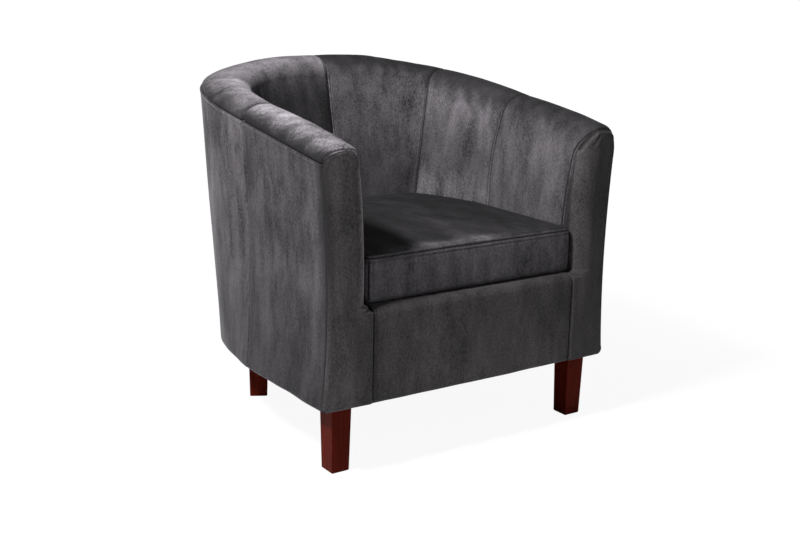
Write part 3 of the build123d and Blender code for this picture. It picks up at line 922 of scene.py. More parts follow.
@dataclass(frozen=True)
class PaleFloor(Finish):
    """Matt floor that glows to the camera, fully so away from the chair."""

    grey: float = 0.86
    roughness: float = 0.9
    glow: float = 1.02
    near: float = 0.5
    far: float = 1.9
    shaded: float = 0.09

    def paint(self, n: Nodes, shader: Node) -> None:
        """Mix of the matt shader and a glow that grows with the distance from the origin.

        Args:
            n: Tree helper.
            shader: Shader of the material.
        """
        n.put(shader, Base_Color=(self.grey, self.grey, self.grey, 1.0), Roughness=self.roughness)
        glow = n.add("ShaderNodeEmission", Strength=self.glow)
        mix = n.add("ShaderNodeMixShader")
        path = n.add("ShaderNodeLightPath")
        reach = n.add("ShaderNodeVectorMath", operation="LENGTH")
        n.link(n.where(), reach.inputs[0])
        far = ramp(n, reach.outputs["Value"], self.near, self.far)
        part = n.math("ADD", 1.0 - self.shaded, n.math("MULTIPLY", far, self.shaded))
        n.link(n.math("MULTIPLY", path.outputs["Is Camera Ray"], part), mix.inputs[0])
        n.link(shader.outputs[0], mix.inputs[1])
        n.link(glow.outputs[0], mix.inputs[2])
        n.link(mix.outputs[0], n.tree.nodes["Material Output"].inputs["Surface"])


VELVET = Velvet("anthracite_velvet")
# Lit and shaded copies of the one velvet: the inside copy reaches lighter for painted highlights, while the
# front and seat copies are darker as painted shade.
LIT_INSIDE_VELVET = Velvet("anthracite_velvet_inside_lit", dark=(0.010, 0.0093, 0.0102),
                       light=(0.214, 0.200, 0.217), streak=0.75, grain=1.1, sheen=0.16)
SHADED_FRONT_VELVET = Velvet("anthracite_velvet_front_shaded", dark=(0.010, 0.0093, 0.0097),
                      light=(0.090, 0.0837, 0.0875), streak=0.6, grain=1.0)
SHADED_SEAT_VELVET = Velvet("anthracite_velvet_seat_shaded", dark=(0.005, 0.0047, 0.0052),
                     light=(0.085, 0.0792, 0.086), streak=0.6, grain=0.9, sheen=0.08)
THREAD = Cloth("dark_thread", (0.010, 0.010, 0.011), (0.03, 0.029, 0.031), 4000.0, 0.7)
LEG_WOOD = Wood("mahogany_stain", (0.038, 0.0022, 0.0006), (0.086, 0.0066, 0.0016),
                (150.0, 150.0, 9.0), 0.5)
FRAME_WOOD = Wood("bare_frame_wood", (0.40, 0.26, 0.14), (0.66, 0.49, 0.31), (18.0, 18.0, 120.0), 0.75)
ZINC = Zinc("zinc_plate")
WEBBING = Cloth("elastic_webbing", (0.06, 0.05, 0.04), (0.2, 0.17, 0.13), 1500.0)
LINING = Cloth("lining_cloth", (0.012, 0.012, 0.013), (0.035, 0.035, 0.037), 2600.0, 0.95)


def dress(piece: Piece, finish: Finish) -> None:
    """Gives a piece one finish in all its slots.

    Args:
        piece: Mesh object.
        finish: Finish to put on it.
    """
    piece.data.materials.clear()
    piece.data.materials.append(finish.material())


# Sub-assemblies

@dataclass
class Stitching:
    """Rows of short thread stitches, gathered and made as one mesh for each body."""

    length: float = 0.0036
    pitch: float = 0.0052
    radius: float = 0.00055
    sides: int = 6
    ring_at: tuple[float, ...] = (-0.5, -0.32, 0.32, 0.5)
    ring_size: tuple[float, ...] = (0.25, 1.0, 1.0, 0.25)
    look_ahead: float = 0.001
    rows: list[tuple[Array, Array]] = field(default_factory=list)

    def row(self, path: Array, normal: Array) -> None:
        """Adds one row.

        Args:
            path: Points along the row.
            normal: Outward normals at those points.
        """
        self.rows.append((path, normal))

    def build(self, name: str) -> Piece:
        """Makes every stitch: a six-sided spindle laid along the path and half sunk in the cloth.

        Args:
            name: Piece name.

        Returns:
            The mesh object.
        """
        centre, along, out = [], [], []
        for path, normal in self.rows:
            run = running(np.linalg.norm(np.diff(path, axis=0), axis=1))
            place = np.arange(self.pitch, run[-1] - self.pitch, self.pitch)
            spot = read_along(place, run, path)
            centre.append(spot)
            along.append(unit(read_along(place + self.look_ahead, run, path) - spot))
            out.append(unit(read_along(place, run, normal)))
        axes = [np.concatenate(part)[:, None, None, :] for part in (centre, along, out)]
        cross = np.cross(axes[1], axes[2])
        turn = np.linspace(0.0, 2.0 * math.pi, self.sides, endpoint=False)
        fat = np.array(self.ring_size)[:, None] * self.radius
        x = (np.array(self.ring_at)[:, None] * self.length) * np.ones((1, self.sides))
        y, z = fat * np.cos(turn)[None, :], fat * np.sin(turn)[None, :]
        points = axes[0] + x[..., None] * axes[1] + y[..., None] * cross + z[..., None] * axes[2]
        quads = grid_faces(len(self.ring_at), self.sides, False, wrap_cols=True)
        caps = np.array([[0, 1, 2, 3], [0, 3, 4, 5], [21, 20, 19, 18], [23, 22, 21, 18]])
        base = np.concatenate([quads, caps])
        faces = (base[None, :, :] + x.size * np.arange(len(points))[:, None, None]).reshape(-1, 4)
        piece = mesh_piece(name, points, faces)
        dress(piece, THREAD)
        return piece


@dataclass(frozen=True)
class Strip:
    """Place of one inside panel: its word, hand, two seams and the seed of its soft swell."""

    word: str
    side: Side
    start: float | None
    end: float
    seed: int

    @property
    def front(self) -> bool:
        """Whether the panel begins at the arm front."""
        return self.start is None


@dataclass
class InsideCover:
    """Six padded panels sewn together and rolled over the sloping rim."""

    form: TubForm
    stitches: Stitching
    crown: float = 0.0024
    sim_cap: float = 0.0030
    edge_width: float = 0.008
    edge_depth: float = 0.0048
    lean: float = 0.050
    wing_lean: float = 0.020
    wing_fade: float = 0.30
    arm_fades: tuple[float, float] = (0.34, 0.75)
    arm_powers: tuple[float, float] = (1.0, 1.5)
    arm_crown: float = 0.0024
    front_width: float = 0.014
    front_depth: tuple[float, float] = (0.0090, 0.0118)
    front_start: float = 0.0065
    stitch_place: float = 0.0062
    stitch_lift: float = 0.0002
    stitch_skip: int = 4
    # Dip along the stitches of a plain panel and of an arm panel
    dips: tuple[float, float] = (0.0010, 0.0016)
    dip_width: float = 0.0013
    # Width of a seam's painted dark shade line, then weight and width of the painted shade on its stitch row
    side_seam: Triple = (0.0021, 0.35, 0.0011)
    front_seam: Triple = (0.0026, 1.0, 0.0014)
    # Inset and fall of the two rows that tuck the edge under the rim
    hems: tuple[tuple[float, float], ...] = ((0.0055, 0.009), (0.0048, 0.003))
    rim_length: float = 0.35
    rim_width: float = 0.006
    rim_depth: float = 0.0025
    wave: float = 0.0011
    wave_pitch: float = 0.08
    stroke_pitches: tuple[float, float] = (0.055, 0.014)
    stroke_sway: float = 0.022
    pucker: float = 0.0003
    pucker_pitch: float = 0.0105
    pucker_reach: float = 0.008
    section_length: float = 0.55
    close_strip: float = 0.014
    wall_depth: float = 0.012
    front_outer: float = 0.0060
    front_ridge: float = 0.0030
    front_inner: float = 0.031
    front_foot: float = 0.049
    # Tables of pile shading along the section for each panel, painted light and shade with the pile's brushing:
    # on the left roll, a painted highlight along the ridge and a painted dark band by the rim seam.
    nap_and_light_tables: dict[tuple[str, str], Table] = field(default_factory=lambda: {
        ("left", "arm"): ((0.0, 0.03, 0.057, 0.085, 0.113, 0.137, 0.24, 0.34, 0.46, 1.0),
                          (0.0, 0.02, 0.15, 0.46, 1.0, 1.14, 1.02, 0.58, 0.16, 0.14)),
        ("left", "wing"): ((0.0, 0.03, 0.057, 0.113, 0.17, 0.24, 0.33, 0.38, 0.46, 1.0),
                           (0.05, 0.10, 0.20, 0.56, 1.02, 1.45, 0.54, 0.12, 0.05, 0.05)),
        ("left", "back"): ((0.0, 0.08, 0.17, 0.24, 0.30, 0.36, 0.42, 0.6, 1.0),
                           (0.25, 0.38, 0.62, 0.70, 0.46, 0.20, 0.115, 0.09, 0.08)),
        ("right", "back"): ((0.0, 0.07, 0.12, 0.20, 0.27, 0.32, 0.36, 0.42, 0.52, 0.7, 0.8, 1.0),
                            (0.28, 0.24, 0.03, 0.03, 0.10, 0.32, 0.46, 0.46, 0.38, 0.22, 0.19, 0.18)),
        ("right", "wing"): ((0.0, 0.07, 0.12, 0.20, 0.27, 0.31, 0.36, 0.42, 0.56, 0.66, 0.76, 1.0),
                            (0.28, 0.24, 0.05, 0.06, 0.10, 0.22, 0.50, 0.44, 0.30, 0.34, 0.52, 0.56)),
        ("right", "arm"): ((0.0, 0.07, 0.12, 0.20, 0.27, 0.34, 0.40, 0.75, 1.0),
                           (0.28, 0.24, 0.06, 0.08, 0.14, 0.34, 0.38, 0.31, 0.27)),
    })

    def front_edge(self, v: Array) -> Array:
        """Set-back of the arm-front seam along the section: small outside, larger inside.

        Args:
            v: Place along the section.

        Returns:
            Set-back at each place.
        """
        a, b, c = clamped(v / 0.17), clamped((v - 0.17) / 0.22), clamped((v - 0.30) / 0.55)
        edge = self.front_outer + (self.front_ridge - self.front_outer) * a
        edge = edge + (self.front_inner - self.front_ridge) * eased(b)
        return edge + (self.front_foot - self.front_inner) * c * (2.0 - c)

    def slant(self, v: Array, length: float, side: Side) -> Array:
        """Shift of a seam along the rim line: rearward on the left, the arm seam forward on the right.

        Args:
            v: Place along the section.
            length: Length of the seam; the centre seam stays straight.
            side: Hand.

        Returns:
            Shift at each place, in metres.
        """
        left, right = side is Side.LEFT, side is Side.RIGHT
        if length != self.form.arm_seam:
            reach = self.wing_lean if left and length < self.form.span() else 0.0
            return (reach * (1.0 - eased(clamped(v / self.wing_fade))))[None, :]
        fade = 1.0 - eased(clamped(v / self.arm_fades[right]))
        shift = self.form.straight - self.form.arm_seam if left else -self.lean
        return (shift * fade ** self.arm_powers[right])[None, :]

    def front_fall(self, v: Array, side: Side) -> Array:
        """Depth of the curled front edge along the section: full over the arch, small at both ends.

        Args:
            v: Place along the section.
            side: Hand; the right arm is sewn a little deeper.

        Returns:
            Depth at each place.
        """
        deepest = self.front_depth[side is Side.RIGHT]
        full = self.front_start + (deepest - self.front_start) * eased(clamped(v / 0.14))
        return full + (self.edge_depth - full) * eased(clamped((v - 0.24) / 0.16))

    def lengths(self, strip: Strip, v: Array) -> tuple[Array, Array, Array, Array]:
        """Lengths along the rim line over a panel's grid.

        Args:
            strip: Place of the panel.
            v: Places along the section.

        Returns:
            Shares across the panel, lengths of its first and its last seam, and lengths of the grid.
        """
        form = self.form
        low = self.front_foot if strip.front else strip.start
        u = spaced(self.close_strip, strip.end - low, 0.0009, 0.006)
        if strip.front:
            close = self.close_strip * np.linspace(0.0, 1.0, 30) ** 2
            u = np.concatenate([close, u[u > self.close_strip + 0.0005]])
            inset, _ = form.cover(form.at(np.zeros_like(v)), v)
            first = (self.front_edge(v) - form.bow(form.half_width - inset))[None, :]
        else:
            first = strip.start + self.slant(v, strip.start, strip.side)
        u = u / (strip.end - low)
        last = strip.end + self.slant(v, strip.end, strip.side)
        return u, first, last, first + (last - first) * u[:, None] * np.ones_like(v)[None, :]

    def swell(self, strip: Strip, points: Array, near: Array, across: Array, v: Array) -> Array:
        """Outward swell between the seams: a crown by formula and a cloth run.

        Args:
            strip: Place of the panel.
            points: Grid of points.
            near: Distance of each point from the nearer seam.
            across: Shares across the panel.
            v: Places along the section.

        Returns:
            Swell at each point.
        """
        bow = 1.0 - across**3 if strip.front else 1.0 - (2.0 * across - 1.0) ** 2
        swell = self.crown * bow * clamped(v / 0.05)[None, :]
        held = clamped(1.2 - near / 0.006) + clamped(1.2 - v / 0.012)[None, :] + (v > 0.985)[None, :]
        swell = 0.4 * swell + settle(points, clamped(held), False, False, self.sim_cap)
        swell = swell - self.crown
        if strip.front:
            arch = np.sin(math.pi * clamped(v / 0.42))[None, :]
            swell = swell + self.arm_crown * np.sin(math.pi * across) * arch
        return swell

    def crease(self, strip: Strip, ahead: Array, behind: Array, rim_gap: Array) -> Array:
        """Painted shade of the seams: at both edges, along their stitches and under the rim.

        Args:
            strip: Place of the panel.
            ahead: Distance from the first seam over the padding.
            behind: Distance from the last seam over the padding.
            rim_gap: Distance from the rim seam.

        Returns:
            Value from 0 to 1 at each point.
        """
        # Painted shade under the rim seam, in both seams and along their stitch rows.
        dark = 0.6 * np.exp(-rim_gap / 0.0012)
        seams = ((ahead, self.front_seam if strip.front else self.side_seam), (behind, self.side_seam))
        for gap, (width, weight, row_width) in seams:
            dark = dark + bell(gap, 0.0, width) + weight * bell(gap, self.stitch_place, row_width)
        return clamped(dark)

    def brush(self, strip: Strip, length: Array, place: Array, ahead: Array, behind: Array) -> Array:
        """Pile shading of a panel, its brushing with painted light and shade: its table of strengths read at a
        wavering place, with painted highlights beside the seams.

        Args:
            strip: Place of the panel.
            length: Lengths along the rim line.
            place: Places along the section.
            ahead: Distance from the first seam over the padding.
            behind: Distance from the last seam over the padding.

        Returns:
            Pile brushing with painted light and shade at each point.
        """
        broad, fine = self.stroke_pitches
        stroke = ripple(length, place * 0.5 + length * 0.6, strip.seed + 90, broad)
        stroke = stroke + 0.45 * ripple(length, place * 0.5 - length * 0.4, strip.seed + 95, fine)
        wavering = clamped(place + self.stroke_sway * stroke)
        # The table holds painted light and shade together with the pile's brushing.
        nap = np.interp(wavering, *self.nap_and_light_tables[strip.side.word, strip.word])
        # Painted highlights just beside the seams.
        if strip.front:
            nap = nap * (1.0 + 0.6 * bell(ahead, 0.0038, 0.0012))
        else:
            nap = nap * (1.0 + 0.25 * bell(np.minimum(ahead, behind), 0.0038, 0.0013))
        # Painted shade on the left wing beside its arm seam, and a painted highlight on the left arm beside the
        # same seam.
        if strip.side is Side.LEFT and strip.word == "wing":
            nap = nap * (1.0 - 0.55 * bell(ahead, 0.004, 0.013))
        if strip.side is Side.LEFT and strip.word == "arm":
            nap = nap * (1.0 + 0.5 * bell(behind, 0.006, 0.006))
        return nap

    def sew(self, strip: Strip, points: Array, ahead: Array, behind: Array) -> None:
        """Adds the rows of stitches: at the arm front, on both sides of a wing and at the centre seam.

        Args:
            strip: Place of the panel.
            points: Grid of points.
            ahead: Distance from the first seam over the padding.
            behind: Distance from the last seam over the padding.
        """
        facing, mirror, skip = normals_of(points), strip.side.mirror, self.stitch_skip
        rows = []
        if strip.word != "back":
            rows.append((points, facing, ahead))
        if strip.word != "arm":
            rows.append((points[::-1], facing[::-1], behind[::-1]))
        for grid, normal, gap in rows:
            up = contour(normal, gap, self.stitch_place)
            path = contour(grid, gap, self.stitch_place) + up * self.stitch_lift
            self.stitches.row(path[skip:] * mirror, up[skip:] * mirror)

    def panel(self, strip: Strip) -> Piece:
        """One panel between two seams.

        The point at (u, v) lies on the wall section at length u, moved out by a crown that is
        greatest midway between the seams and in by a quarter-round fall at each edge.

        Args:
            strip: Place of the panel.

        Returns:
            The dressed panel.
        """
        form, side = self.form, strip.side
        v = np.concatenate([np.linspace(0.0, 0.03, 9)[:-1], np.linspace(0.03, 1.0, 110)])
        u, first, last, length = self.lengths(strip, v)
        cut = form.at(length)
        inset, height = form.cover(cut, np.broadcast_to(v[None, :], length.shape))
        points = form.place(cut, inset, height)
        ahead, behind = length - first, last - length
        near = np.minimum(ahead, behind)
        swell = self.swell(strip, points, near, clamped(u)[:, None], v)
        calm = clamped(near / 0.03) * np.clip((v - 0.30) / 0.15, 0.25, 1.0)[None, :]
        swell = swell + self.wave * ripple(length, height * 0.35, strip.seed, self.wave_pitch) * calm
        width = self.front_width if strip.front else self.edge_width
        depth = self.front_fall(v, side)[None, :] if strip.front else self.edge_depth
        first_fall = seam_dive(ahead, width, depth)
        last_fall = seam_dive(behind, self.edge_width, self.edge_depth)
        ahead = np.hypot(ahead, depth - first_fall)
        behind = np.hypot(behind, self.edge_depth - last_fall)
        along = v[None, :] * self.section_length
        pucker = self.pucker * np.sin(along * 2.0 * math.pi / self.pucker_pitch)
        pucker = pucker * np.exp(-near / self.pucker_reach)
        dip = self.dips[strip.front] * bell(np.minimum(ahead, behind), self.stitch_place, self.dip_width)
        rim_gap = v[None, :] * self.rim_length
        rim_fall = seam_dive(rim_gap, self.rim_width, self.rim_depth)
        shift = swell - (first_fall + last_fall) + pucker - dip - rim_fall
        points = points + normals_of(points) * shift[..., None]
        self.sew(strip, points, ahead, behind)
        hems = [form.place(cut, inset, cut["rim"] - fall)[:, :1] for inset, fall in self.hems]
        # The tucked hem rows get full painted shade and no light from the pile.
        tucked = np.ones((len(u), len(hems)))
        points = np.concatenate([*hems, points], axis=1)
        crease = np.concatenate([tucked, self.crease(strip, ahead, behind, rim_gap)], axis=1)
        nap = np.concatenate([0.0 * tucked, self.brush(strip, length, v[None, :], ahead, behind)], axis=1)
        faces = grid_faces(*points.shape[:2], side is Side.LEFT)
        piece = mesh_piece(f"{side.word}_{strip.word}_inside", points * side.mirror, faces, crease, nap)
        thicken(piece, self.wall_depth)
        dress(piece, LIT_INSIDE_VELVET)
        return piece

    def build(self) -> list[Piece]:
        """Builds all six panels.

        Returns:
            The panels.
        """
        arm, wing = self.form.arm_seam, self.form.length_at_turn(self.form.wing_turn)
        runs = (("arm", None, arm), ("wing", arm, wing), ("back", wing, self.form.span()))
        made = []
        for side in Side:
            for order, (word, start, end) in enumerate(runs):
                piece = self.panel(Strip(word, side, start, end, 11 + order + 5 * side.value))
                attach(piece, Body.TUB.value)
                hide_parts(f"{side.word}_{word}_inner")
                made.append(piece)
        return made


@dataclass
class OutsideCover:
    """Outside arm panels and the outside back panel, drawn over the frame with a folded top edge."""

    form: TubForm
    start: float = 0.0078
    lip: float = 0.0008
    hem: float = 0.006
    turn_in: float = 0.007
    below_rim: float = 0.0005
    wave: float = 0.0012
    wave_pitch: float = 0.11
    stitch_dip: float = 0.0007
    corner_fall: float = 0.004
    wall_depth: float = 0.0035

    def panel(self, name: str, first: float, last: float, side: Side, seed: int) -> Piece:
        """One outside panel: the wall parabola at each length, with its edges turned in.

        Args:
            name: Piece name.
            first: Length of its first edge along the rim line.
            last: Length of its last edge.
            side: Hand; the back panel is right-handed.
            seed: Seed of the soft swell.

        Returns:
            The dressed panel.
        """
        form = self.form
        arm = last == form.straight
        u = spaced(0.012, last - first, 0.0015, 0.011)
        length = (first + u)[:, None]
        v = np.concatenate([np.linspace(0.0, 0.035, 8)[:-1], np.linspace(0.035, 0.95, 40)[:-1],
                            np.linspace(0.95, 1.0, 22)])[None, :]
        cut = form.at(np.broadcast_to(length, (len(u), v.shape[1])))
        top = cut["rim"] - self.below_rim
        height = form.bottom + (top - form.bottom) * v
        from_top, from_low = top - height, height - form.bottom
        row = self.hem + 0.001
        fold = self.lip * clamped(1.0 - np.abs(from_top - self.hem * 0.45) / (self.hem * 0.55)) ** 0.5
        near = np.minimum(u, u[-1] - u)[:, None]
        swell = self.wave * ripple(length, height * 0.3, seed, self.wave_pitch)
        swell = swell * clamped(near / 0.03) * clamped(from_top / 0.03)
        fall = seam_dive(near, 0.005, 0.0035) + seam_dive(from_top, 0.0022, 0.0030)
        fall = fall + seam_dive(from_low, self.turn_in, self.turn_in)
        dip = self.stitch_dip * bell(from_top, row, 0.0011)
        ahead = (u[:, None] if arm else np.ones((len(u), 1))) * np.ones_like(height)
        corner = clamped(1.0 - ahead / 0.016) * clamped(1.0 - from_top / 0.024)
        fall = fall + self.corner_fall * corner**2
        points = form.place(cut, form.shell(cut, height) - fold - swell + fall + dip, height)
        # Painted shade in the side seams, along the hem's stitch row, under the folded top edge and down the
        # arm panel's front edge.
        crease = np.exp(-near / 0.0018) * 0.45 + 0.35 * bell(from_top, row, 0.001)
        crease = crease + 0.6 * np.exp(-from_top / 0.0010) + bell(ahead, 0.0, 0.0065)
        # Pile shading with painted light and shade: painted darker towards the bottom, painted dark bands along
        # the arm panel's front edge and before its back seam, and a painted highlight along the folded top
        # edge.
        lift = clamped((height - 0.20) / 0.25)
        nap = 0.18 + 0.175 * lift if arm else 0.22 + 0.26 * lift
        nap = nap * (1.0 - 0.8 * bell(ahead, 0.0, 0.016) * np.clip((height - 0.22) / 0.16, 0.2, 1.0))
        nap = nap * (1.0 - 0.3 * arm * bell(u[-1] - u[:, None], 0.008, 0.016))
        nap = nap * (1.0 + 0.5 * bell(from_top, 0.0030, 0.0016))
        faces = grid_faces(*height.shape, side is Side.LEFT)
        piece = mesh_piece(name, points * side.mirror, faces, clamped(crease), nap)
        thicken(piece, self.wall_depth)
        dress(piece, VELVET)
        return piece

    def build(self) -> list[Piece]:
        """Builds the three panels.

        Returns:
            The panels.
        """
        form = self.form
        made = []
        for side in Side:
            piece = self.panel(f"{side.word}_outside_arm", self.start - form.bow_side, form.straight,
                               side, 31 + side.value)
            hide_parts(f"{side.word}_outer_panel")
            made.append(piece)
        end = 2.0 * form.span() - form.straight
        back = self.panel("outside_back", form.straight, end, Side.RIGHT, 37)
        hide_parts("outer_back_panel")
        made.append(back)
        for piece in made:
            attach(piece, Body.TUB.value)
        return made


@dataclass
class ArmFront:
    """Arched arm front: flat padded face that rounds over to its seam, deeper on the inner side."""

    form: TubForm
    cover: InsideCover
    inner_low: float = 0.2298
    inner_step: float = 0.306
    step_points: int = 8
    face_crown: float = 0.0025
    face_back: float = 0.0025
    spine_x: tuple[float, float] = (0.277, 0.0095)
    spine_pitch: float = 0.012
    corner: float = 0.012
    foot_radius: float = 0.006
    inner_reach: float = 0.024
    tuck_at: tuple[float, float] = (0.282, 0.578)
    tuck_way: tuple[float, float] = (0.58, 0.81)
    tuck_length: float = 0.034
    hidden: float = 0.004
    wall_depth: float = 0.004

    def outline(self, side: Side) -> tuple[Array, Array, Array, Array]:
        """Closed outline: up the outer side, over the arch, down the inner side and along the foot.

        Args:
            side: Hand.

        Returns:
            x, z, edge radius and depth of the seam along the outline.
        """
        form, cover = self.form, self.cover
        cut = form.at(np.array(0.0))
        foot = form.bottom
        turn = np.linspace(0.0, QUARTER, 10)
        corner_x = form.half_width - form.base_side - self.corner * (1.0 - np.sin(turn))
        corner_z = foot + self.corner * (1.0 - np.cos(turn))
        z_out = np.linspace(foot + self.corner, form.rim_front, 70)[1:]
        x_out = form.half_width - form.shell(cut, z_out)
        v = np.linspace(0.0, 1.0, 150)[1:]
        inset, z_in = form.cover({k: np.broadcast_to(cut[k], v.shape) for k in cut}, v)
        keep = z_in > self.inner_step + 0.006
        v, z_in, x_in = v[keep], z_in[keep], form.half_width - inset[keep]
        z_low = np.concatenate([self.inner_step - 0.0011 * np.arange(self.step_points),
                                np.linspace(self.inner_step - 0.0105, foot + 0.001, 36)])
        x_low = np.full_like(z_low, self.inner_low)
        x_foot = np.linspace(self.inner_low, corner_x[0], 24)[1:-1]
        x = np.concatenate([corner_x, x_out, x_in, x_low, x_foot])
        z = np.concatenate([corner_z, z_out, z_in, z_low, np.full_like(x_foot, foot)])
        step_x, step_z = np.gradient(x), np.gradient(z)
        size = np.hypot(step_x, step_z)
        arch = np.clip(cover.front_fall(v, side) - 0.0009, 0.0, None)
        rise = clamped((z_out - form.rim_front + 0.03) / 0.03) ** 2 * arch[0]
        sink = np.concatenate([np.zeros(len(corner_x)), rise, arch, np.zeros(len(x_low) + len(x_foot))])
        edge = cover.front_edge(v)
        outer = np.full(len(corner_x) + len(x_out), cover.front_outer)
        depths = []
        for low in (self.foot_radius, self.inner_reach):
            step = np.linspace(edge[-1], low, self.step_points)
            inner = np.full(len(z_low) - self.step_points, low)
            depths.append(np.concatenate([outer, edge, step, inner, np.full(len(x_foot), self.foot_radius)]))
        radius = np.minimum(depths[0], cover.front_inner)
        reach = np.maximum(depths[1], radius) + 0.0004
        return x - step_z / size * sink, z + step_x / size * sink, radius, reach

    def tuck(self, px: Array, pz: Array, side: Side) -> tuple[Array, Array]:
        """Short slanting fold below the arch of the right arm front.

        Args:
            px: x of the face's points.
            pz: z of the face's points.
            side: Hand.

        Returns:
            Strength of the fold from 0 to 1, and distance from its line.
        """
        (x, z), (right, up) = self.tuck_at, self.tuck_way
        along = np.clip(((x - px) * right + (z - pz) * up) / self.tuck_length, -0.5, 1.5)
        aside = (px - x) * up - (pz - z) * right
        return clamped(1.0 - np.abs(2.0 * along - 1.0) ** 3) * (side is Side.RIGHT), aside

    def marks(self, side: Side, x: Array, z: Array, far_edge: Array, rounded: Array,
              folded: Array) -> tuple[Array, Array]:
        """Painted seam shade, and the pile's brushing with painted light and shade, of the face and the strip
        behind it.

        Args:
            side: Hand.
            x: x of the outline.
            z: z of the outline.
            far_edge: Distance of each point from the seam.
            rounded: Share from 0 to 1 by which the face has rounded over.
            folded: Painted shade of the tuck on the face.

        Returns:
            Painted seam shade and pile brushing, outline by rows, with one more row in full painted shade for
            the hidden edge.
        """
        face = rounded.shape[1]
        # Painted shade along the seam where it is sewn, and a painted dark band down the outer edge.
        sewn = clamped((z - 0.50) / 0.05 + (x < 0.262) * 1.0)[:, None]
        outer = (clamped((x - 0.30) / 0.01) * np.clip((z - 0.24) / 0.16, 0.1, 1.0))[:, None]
        crease = np.maximum(bell(far_edge, 0.0, 0.0016) * sewn, 0.9 * outer * bell(far_edge, 0.0, 0.0078))
        crease[:, :face] += folded
        # Painted highlight where the inner edge rounds over, a painted light line beside the seam, and the
        # right arm front painted darker than the left.
        inner = clamped((0.268 - x) / 0.02) * (clamped((z - 0.29) / 0.05) * clamped((0.575 - z) / 0.06))
        plain, light = (0.46, 3.6) if side is Side.LEFT else (0.28, 0.35)
        nap = plain + 0.3 * sewn * bell(far_edge, 0.0034, 0.0014)
        nap[:, :face] += light * rounded**2 * inner[:, None]
        edge = np.ones((len(x), 1))
        return clamped(np.concatenate([crease, edge], axis=1)), np.concatenate([nap, 0.0 * edge], axis=1)

    def build(self, side: Side) -> Piece:
        """One arm front.

        The point at (t, r) lies on the line from the spine to the outline at t; its depth is a
        quarter circle of the local edge radius, and the face between has a slight crown.

        Args:
            side: Hand.

        Returns:
            The dressed piece.
        """
        form = self.form
        x, z, radius, reach = self.outline(side)
        spine_z = np.round(z / self.spine_pitch) * self.spine_pitch
        spine_z = np.clip(spine_z, form.bottom + 0.042, form.rim_front - 0.014)
        share = (spine_z - form.bottom) / (form.rim_front - form.bottom)
        spine_x = self.spine_x[0] + self.spine_x[1] * share
        far = np.hypot(x - spine_x, z - spine_z)
        q = np.linspace(0.0, 1.0, 26)
        r = np.concatenate([0.55 * q[:-1], 0.55 + 0.45 * (1.0 - (1.0 - np.linspace(0.0, 1.0, 34)) ** 2)])
        px = spine_x[:, None] + (x - spine_x)[:, None] * r[None, :]
        pz = spine_z[:, None] + (z - spine_z)[:, None] * r[None, :]
        lift = 0.001 + 0.003 * (form.bow(px) - form.bow_side) / (form.bow_middle - form.bow_side)
        pz = pz + lift * clamped(1.0 - (pz - form.bottom) / 0.05)
        gap = far[:, None] * (1.0 - r[None, :])
        rounded = clamped(1.0 - gap / radius[:, None])
        back = radius[:, None] * (1.0 - np.sqrt(1.0 - rounded**2))
        crown = self.face_crown * clamped(gap / 0.03) ** 0.7
        swell = 0.0008 * ripple(px, pz * 0.4, 51 + side.value, 0.07) * clamped(gap / 0.02)
        tuck, aside = self.tuck(px, pz, side)
        fold = tuck * (0.0014 * bell(aside, 0.0, 0.0028) - 0.0007 * bell(aside, 0.006, 0.004))
        py = form.front + self.face_back - form.bow(px) + back - crown + swell + fold
        points = np.stack([px, py, pz], axis=-1)
        strip = np.linspace(0.0, 1.0, 9)[1:]
        behind = (reach - radius)[:, None]
        run = np.stack(np.broadcast_arrays(0.0, behind * strip[None, :], 0.0), axis=-1)
        inward = np.stack([(spine_x - x) / far, np.ones_like(x), (spine_z - z) / far], axis=-1)
        points = np.concatenate([points, points[:, -1:] + run], axis=1)
        points = np.concatenate([points, points[:, -1:] + inward[:, None, :] * self.hidden], axis=1)
        far_edge = np.concatenate([gap + behind, behind * (1.0 - strip[None, :])], axis=1)
        # The tuck's fold gets painted shade.
        crease, nap = self.marks(side, x, z, far_edge, rounded, 0.6 * tuck * bell(aside, -0.001, 0.0022))
        points = points.transpose(1, 0, 2) * side.mirror
        faces = grid_faces(len(points), len(x), side is Side.LEFT, wrap_cols=True)
        piece = mesh_piece(f"{side.word}_arm_front_cover", points, faces, crease.T, nap.T, weld=True)
        thicken(piece, self.wall_depth)
        dress(piece, SHADED_FRONT_VELVET)
        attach(piece, Body.TUB.value)
        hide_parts(f"{side.word}_arm_front")
        return piece


